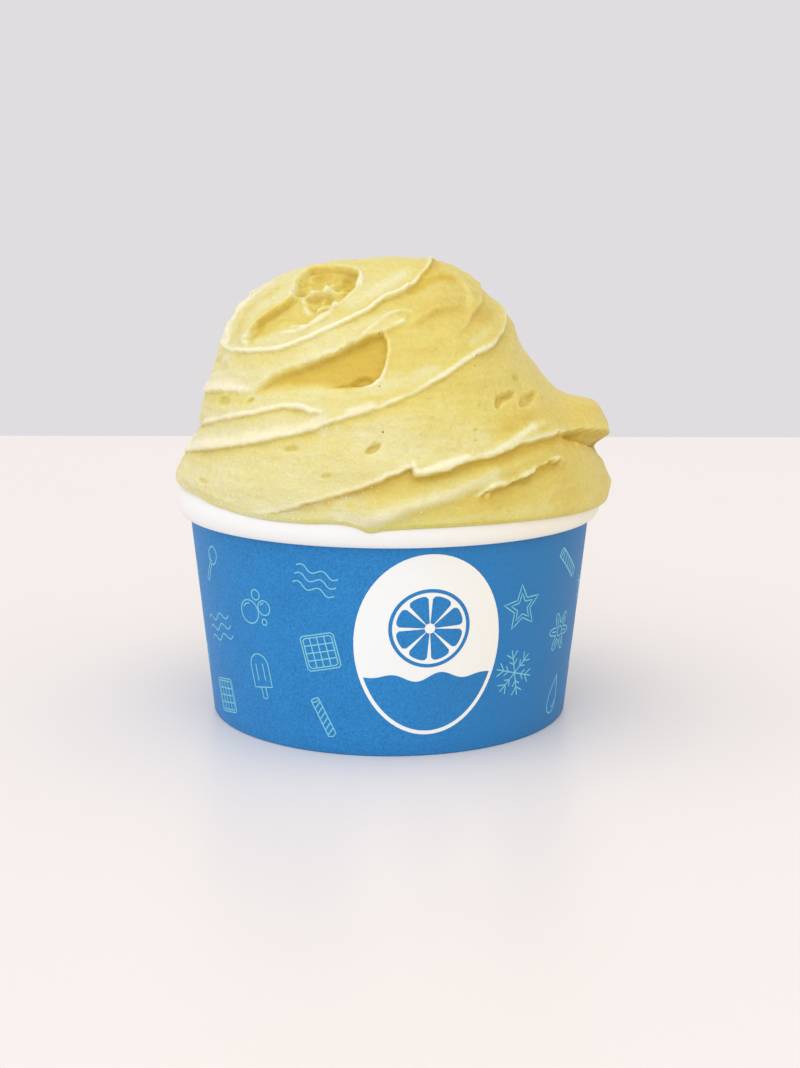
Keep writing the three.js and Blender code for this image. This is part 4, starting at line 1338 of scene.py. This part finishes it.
def motifTree():
    tree, given = newTree(
        "staggeredMotifs", Collection=["Motifs"], Int=["Columns", "Rows", "Seed"], Material=["Finish"],
        Float=wallInputs + [
            "Column Pitch", "Row Pitch", "Lowest", "Highest", "Turn", "Shift", "Smallest", "Largest",
            "Line Width", "Ink", "Clear X", "Clear Y", "Clear Half Width", "Clear Half Height",
        ],
    )
    grid, column, row = numberedGrid(tree, given["Columns"], given["Rows"])
    lift = ("MULTIPLY_ADD", ("FLOORED_MODULO", column, 2.0), 0.5, row)  # every second column is half a row up
    spot = addNode(tree, "ShaderNodeCombineXYZ", {
        "X": ("MULTIPLY", column, given["Column Pitch"]),
        "Y": ("MULTIPLY_ADD", lift, given["Row Pitch"], given["Lowest"]),
    })
    jitter = randomVector(tree, (-1, -1, 0), (1, 1, 0), given["Seed"])
    moved = addNode(tree, "ShaderNodeVectorMath", {0: jitter, "Scale": given["Shift"]}, operation="SCALE")
    placed = movedTo(tree, grid, spot.outputs[0], moved.outputs[0])
    order = ("MULTIPLY_ADD", column, 4.0, ("MULTIPLY", row, 3.0))
    chosen = addNode(tree, "GeometryNodeStoreNamedAttribute", {
        "Geometry": placed, "Name": "pick", "Value": ("FLOORED_MODULO", order, float(len(motifMakers))),
    }, data_type="FLOAT", domain="POINT")
    here = partsOf(tree, positionOf(tree))
    aside = calculate(tree, "DIVIDE", ("SUBTRACT", here["X"], given["Clear X"]), given["Clear Half Width"])
    apart = calculate(tree, "DIVIDE", ("SUBTRACT", here["Y"], given["Clear Y"]), given["Clear Half Height"])
    distance = ("SQRT", ("MULTIPLY_ADD", aside, aside, ("MULTIPLY", apart, apart)))
    tooHigh = ("GREATER_THAN", here["Y"], given["Highest"])
    kept = addNode(tree, "GeometryNodeDeleteGeometry", {
        "Geometry": chosen.outputs[0], "Selection": ("MAXIMUM", ("LESS_THAN", distance, 1.0), tooHigh),
    })
    shelf = addNode(tree, "GeometryNodeCollectionInfo", {
        "Collection": given["Motifs"], "Separate Children": True, "Reset Children": True,
    })
    picked = addNode(tree, "GeometryNodeInputNamedAttribute", {"Name": "pick"}, data_type="FLOAT")
    tilt = randomBetween(tree, ("MULTIPLY", given["Turn"], -1.0), given["Turn"], given["Seed"])
    spin = addNode(tree, "ShaderNodeCombineXYZ", {"Z": tilt})
    stamped = addNode(tree, "GeometryNodeInstanceOnPoints", {
        "Points": kept.outputs[0], "Instance": shelf.outputs[0], "Pick Instance": True,
        "Instance Index": picked.outputs["Attribute"], "Rotation": spin.outputs[0],
        "Scale": randomBetween(tree, given["Smallest"], given["Largest"], given["Seed"]),
    })
    loose = addNode(tree, "GeometryNodeRealizeInstances", {"Geometry": stamped.outputs[0]})
    lines = addNode(tree, "GeometryNodeMeshToCurve", {"Mesh": loose.outputs[0]})
    upright = addNode(tree, "GeometryNodeSetCurveNormal", {"Curve": lines.outputs[0]}, mode="Z_UP")
    pen = addNode(tree, "GeometryNodeCurvePrimitiveQuadrilateral", {
        "Width": given["Line Width"], "Height": given["Ink"],
    })
    drawn = addNode(tree, "GeometryNodeCurveToMesh", {
        "Curve": upright.outputs[0], "Profile Curve": pen.outputs[0], "Fill Caps": True,
    })
    return wrapOnWall(tree, drawn.outputs[0], given)


def badgeTree():
    tree, given = newTree("wrappedBadge", Float=wallInputs, Material=["Finish"])
    return wrapOnWall(tree, given["Geometry"], given)


def flatPrint(name, patches, ink):  # closed slabs of ink, each under a patch shape(u, v) -> (x, y)
    points = []
    faces = []
    for shape, across, along in patches:
        spots = {}
        top = []
        for i, j in np.ndindex(across, along):
            corners = [shape((i + a) / across, (j + b) / along) for a, b in ((0, 0), (1, 0), (1, 1), (0, 1))]
            face = [spots.setdefault((round(x, 4), round(y, 4)), len(spots)) for x, y in corners]
            top.append(list(dict.fromkeys(face)))  # a collapsed side leaves a triangle
        edges = {(a, b) for face in top for a, b in zip(face, face[1:] + face[:1])}
        high = len(points) + len(spots)
        low = len(points)
        faces += [[high + k for k in face] for face in top] + [[low + k for k in face[::-1]] for face in top]
        faces += [[low + a, low + b, high + b, high + a] for a, b in sorted(edges) if (b, a) not in edges]
        points += [(x, y, z) for z in ink for x, y in spots]
    return meshObject(name, points, faces)


def ringPatch(centre, halfWidth, halfHeight, hole):  # an oval ring, or a whole oval where hole is 0
    def shape(u, v):
        t = -2 * math.pi * u
        reach = hole + (1 - hole) * v
        return centre[0] + halfWidth * reach * math.cos(t), centre[1] + halfHeight * reach * math.sin(t)
    return shape


def wedgePatch(centre, inner, outer, start, stop):  # one segment of the slice, with rounded corners
    def shape(u, v):
        t = (stop + (start - stop) * u) * degree
        ease = (1 - abs(2 * u - 1) ** 4) ** 0.5 * 0.12
        reach = inner + (outer - inner) * (v * (0.88 + ease))
        return centre[0] + reach * math.cos(t), centre[1] + reach * math.sin(t)
    return shape


def tidePatch(centre, halfWidth, halfHeight, level, swell):  # the oval's foot up to a wavy line
    reach = halfWidth * math.sqrt(1 - (level / halfHeight) ** 2)

    def shape(u, v):
        x = reach * (2 * u - 1)
        foot = -halfHeight * math.sqrt(1 - (x / halfWidth) ** 2)
        crest = level + swell * math.sin(5 * math.pi * (u - 0.5)) * math.sin(math.pi * u)
        return centre[0] + x, centre[1] + foot + (crest - foot) * v
    return shape


def makeMotifs(middle, badgeX):
    start = -math.pi * middle  # the pattern begins behind the cup
    clear = motifStyle["aroundBadge"]
    sizes = {
        "Column Pitch": 2 * math.pi * middle / motifStyle["columns"], "Row Pitch": motifStyle["rowPitch"],
        "Lowest": motifStyle["lowest"], "Highest": cup["wallTop"] - motifStyle["belowRim"],
        "Shift": motifStyle["shiftJitter"], "Line Width": motifStyle["line"], "Ink": motifStyle["ink"],
        "Clear X": badgeX - start, "Clear Half Width": badge["halfWidth"] + clear,
        "Clear Y": badge["height"], "Clear Half Height": badge["halfHeight"] + clear,
    }
    shelf = motifCollection()
    stamps = growPiece("linePrint", meshObject("canvas", [(0, 0, 0)]), motifTree(), wallValues | {
        "Azimuth": 270 * degree + start / middle, "Motifs": shelf, "Columns": motifStyle["columns"],
        "Rows": motifStyle["rows"], "Turn": motifStyle["turnJitter"], "Smallest": motifStyle["sizes"][0],
        "Largest": motifStyle["sizes"][1], "Seed": motifStyle["seed"], "Finish": finishes["teal"],
    } | {label: size * mm for label, size in sizes.items()})
    for piece in list(shelf.objects):
        bpy.data.objects.remove(piece)
    bpy.data.collections.remove(shelf)
    settle(stamps, "cup")


def makeBadge(badgeX):
    ink, border, rind = badge["ink"], badge["border"], badge["wheelRadius"]
    centre = (badgeX, badge["height"])
    wheel = (badgeX, badge["height"] + badge["wheelRise"])
    halfWidth, halfHeight = badge["halfWidth"], badge["halfHeight"]
    turn = 360 / badge["wedges"]
    within = (halfWidth - border, halfHeight - border)
    plate = [(ringPatch(centre, halfWidth, halfHeight, 0), 72, 12)]
    art = [
        (tidePatch(centre, *within, badge["tide"], badge["tideSwell"]), 64, 8),
        (ringPatch(wheel, rind, rind, 0.91), 64, 1),
    ]
    for k in range(badge["wedges"]):
        art.append((wedgePatch(wheel, 1, 0.83 * rind, turn * k + 4, turn * (k + 1) - 4), 10, 6))
    tree = badgeTree()
    for name, patches, depth, finish in (
        ("badgeField", plate, (-ink, ink), "badge"), ("badgeArt", art, (ink * 0.5, ink * 1.8), "badgeBlue"),
    ):
        values = wallValues | {"Azimuth": 270 * degree, "Finish": finishes[finish]}
        settle(growPiece(name, flatPrint(name + "Flat", patches, depth), tree, values), "cup")


def makePrint():
    middle = (cup["footRadius"] + cup["topRadius"]) / 2
    badgeX = (badge["azimuth"] - 270) * degree * middle
    makeMotifs(middle, badgeX)
    makeBadge(badgeX)


makePrint()
print("print done")


# specks of zest and grains of frost

def grainTree():
    tree, given = newTree(
        "scatteredGrains", Object=["Ground"], Float=["Density", "Radius"], Int=["Seed"], Material=["Finish"],
    )
    ground = addNode(tree, "GeometryNodeObjectInfo", {"Object": given["Ground"]})
    frost = addNode(tree, "GeometryNodeInputNamedAttribute", {"Name": "frost"}, data_type="FLOAT")
    points = addNode(tree, "GeometryNodeDistributePointsOnFaces", {
        "Mesh": ground.outputs["Geometry"], "Seed": given["Seed"],
        "Density": ("MULTIPLY", frost.outputs["Attribute"], given["Density"]),
    })
    grain = addNode(tree, "GeometryNodeMeshIcoSphere", {"Radius": given["Radius"], "Subdivisions": 1})
    sown = addNode(tree, "GeometryNodeInstanceOnPoints", {
        "Points": points.outputs[0], "Instance": grain.outputs[0], "Rotation": points.outputs["Rotation"],
        "Scale": randomBetween(tree, *specks["grainSizes"], given["Seed"]),
    })
    return finishTree(tree, sown.outputs[0], given["Finish"])


def speckTree():
    tree, given = newTree("zestSpecks", Float=["Radius"], Int=["Seed"], Material=["Finish"])
    chip = addNode(tree, "GeometryNodeMeshIcoSphere", {"Radius": given["Radius"], "Subdivisions": 2})
    sown = addNode(tree, "GeometryNodeInstanceOnPoints", {
        "Points": given["Geometry"], "Instance": chip.outputs[0],
        "Rotation": randomVector(tree, (0, 0, 0), (6.28, 6.28, 6.28), given["Seed"]),
        "Scale": randomVector(tree, *specks["chipSizes"], given["Seed"]),
    })
    return finishTree(tree, sown.outputs[0], given["Finish"])


def surfaceMarks(marks):  # the heap's nearest vertex to each mark on the body
    vertices = np.empty(len(heap.data.vertices) * 3)
    heap.data.vertices.foreach_get("co", vertices)
    vertices = vertices.reshape(-1, 3) / mm
    return [vertices[np.linalg.norm(vertices - point, axis=1).argmin()] for point in onBody(marks)[0]]


def makeGrains():
    zest = speckledMaterial("zestSpeck", 3000, specks["chipTones"], Roughness=0.5)
    frost = speckledMaterial("frostGrain", 1500, specks["grainTones"], Roughness=0.25, IOR=1.31,
                             Subsurface_Weight=0.4, Subsurface_Scale=0.3 * mm)
    chips = growPiece("zestSpecks", meshObject("marks", surfaceMarks(specks["marks"])), speckTree(), {
        "Radius": specks["size"] * mm, "Seed": specks["seed"], "Finish": zest,
    })
    grains = growPiece("frostGrains", meshObject("seedbed", [(0, 0, 0)]), grainTree(), {
        "Ground": heap, "Density": specks["grainsPerSquareMillimetre"] / mm**2,
        "Radius": specks["grainSize"] * mm, "Seed": specks["seed"], "Finish": frost,
    })
    for piece in (chips, grains):
        settle(piece, "gelato")


makeGrains()
print("grains done")


# table, light and camera

studio = {
    "table": (0.86, 0.81, 0.77),
    "tableCloud": (9, 3),  # noise scale and detail
    "tableSize": 3000,
    "tableEnd": 435,  # how far behind the cup the table ends
    "world": (1.0, 0.975, 1.0),
    "worldStrength": 0.74,
    "lamps": {  # turn from the front to the right, height, spread, strength
        "window": (-42, 56, 90, 1.12),
        "fill": (40, 40, 120, 0.56),
    },
    "lampColour": (1.0, 0.995, 0.985),
}

view = {
    "distance": 325.0,  # in front of the cup's middle
    "height": 98.65,
    "pitch": 10.91,
    "yaw": 0.385,
    "roll": 0.175,
    "film": 36,
    "focal": 1586.2 / 1068,  # in image heights
}


def makeTable():
    side = studio["tableSize"]
    end = studio["tableEnd"]
    corners = [(-side, -side, 0), (side, -side, 0), (side, end, 0), (-side, end, 0)]
    table = meshObject("table", corners, [(0, 1, 2, 3)])
    material, tree, shader = newMaterial("tableTop", Roughness=0.35)
    cloud = noiseAt(tree, objectPlace(tree), *studio["tableCloud"])
    colour = mixColour(tree, cloud, studio["table"], darker(studio["table"], 0.97))
    tree.links.new(colour, shader.inputs["Base Color"])
    table.data.materials.append(material)


def makeLamps():
    for name, (turn, height, spread, strength) in studio["lamps"].items():
        light = bpy.data.lights.new(name, "SUN")
        light.energy = strength
        light.angle = spread * degree
        light.color = studio["lampColour"]
        level = math.cos(height * degree)
        across, ahead = math.sin(turn * degree) * level, math.cos(turn * degree) * level
        place = Vector((across, -ahead, math.sin(height * degree)))
        facing = place.to_track_quat("Z", "Y").to_matrix().to_4x4()
        placeObject(name, light).matrix_world = Matrix.Translation(place) @ facing


def makeWorld():
    world = bpy.data.worlds.new("daylight")
    world.use_nodes = True
    background = world.node_tree.nodes["Background"]
    background.inputs["Color"].default_value = (*studio["world"], 1)
    background.inputs["Strength"].default_value = studio["worldStrength"]
    bpy.context.scene.world = world
    bpy.context.scene.view_settings.view_transform = "Standard"


def makeCamera():
    pitch, yaw, roll = (view[key] * degree for key in ("pitch", "yaw", "roll"))
    forward = Vector((math.sin(yaw) * math.cos(pitch), math.cos(yaw) * math.cos(pitch), -math.sin(pitch)))
    level = Vector((math.cos(yaw), -math.sin(yaw), 0))
    upright = level.cross(forward)
    right = math.cos(roll) * level + math.sin(roll) * upright
    up = math.cos(roll) * upright - math.sin(roll) * level
    data = bpy.data.cameras.new("camera")
    data.sensor_fit = "VERTICAL"
    data.sensor_height = view["film"]
    data.lens = view["focal"] * view["film"]
    data.clip_start = 0.01
    camera = placeObject("camera", data)
    turn = Matrix((right, up, -forward)).transposed().to_4x4()
    camera.matrix_world = Matrix.Translation(Vector((0, -view["distance"], view["height"])) * mm) @ turn
    bpy.context.scene.camera = camera


makeTable()
makeLamps()
makeWorld()
makeCamera()
print("studio done")
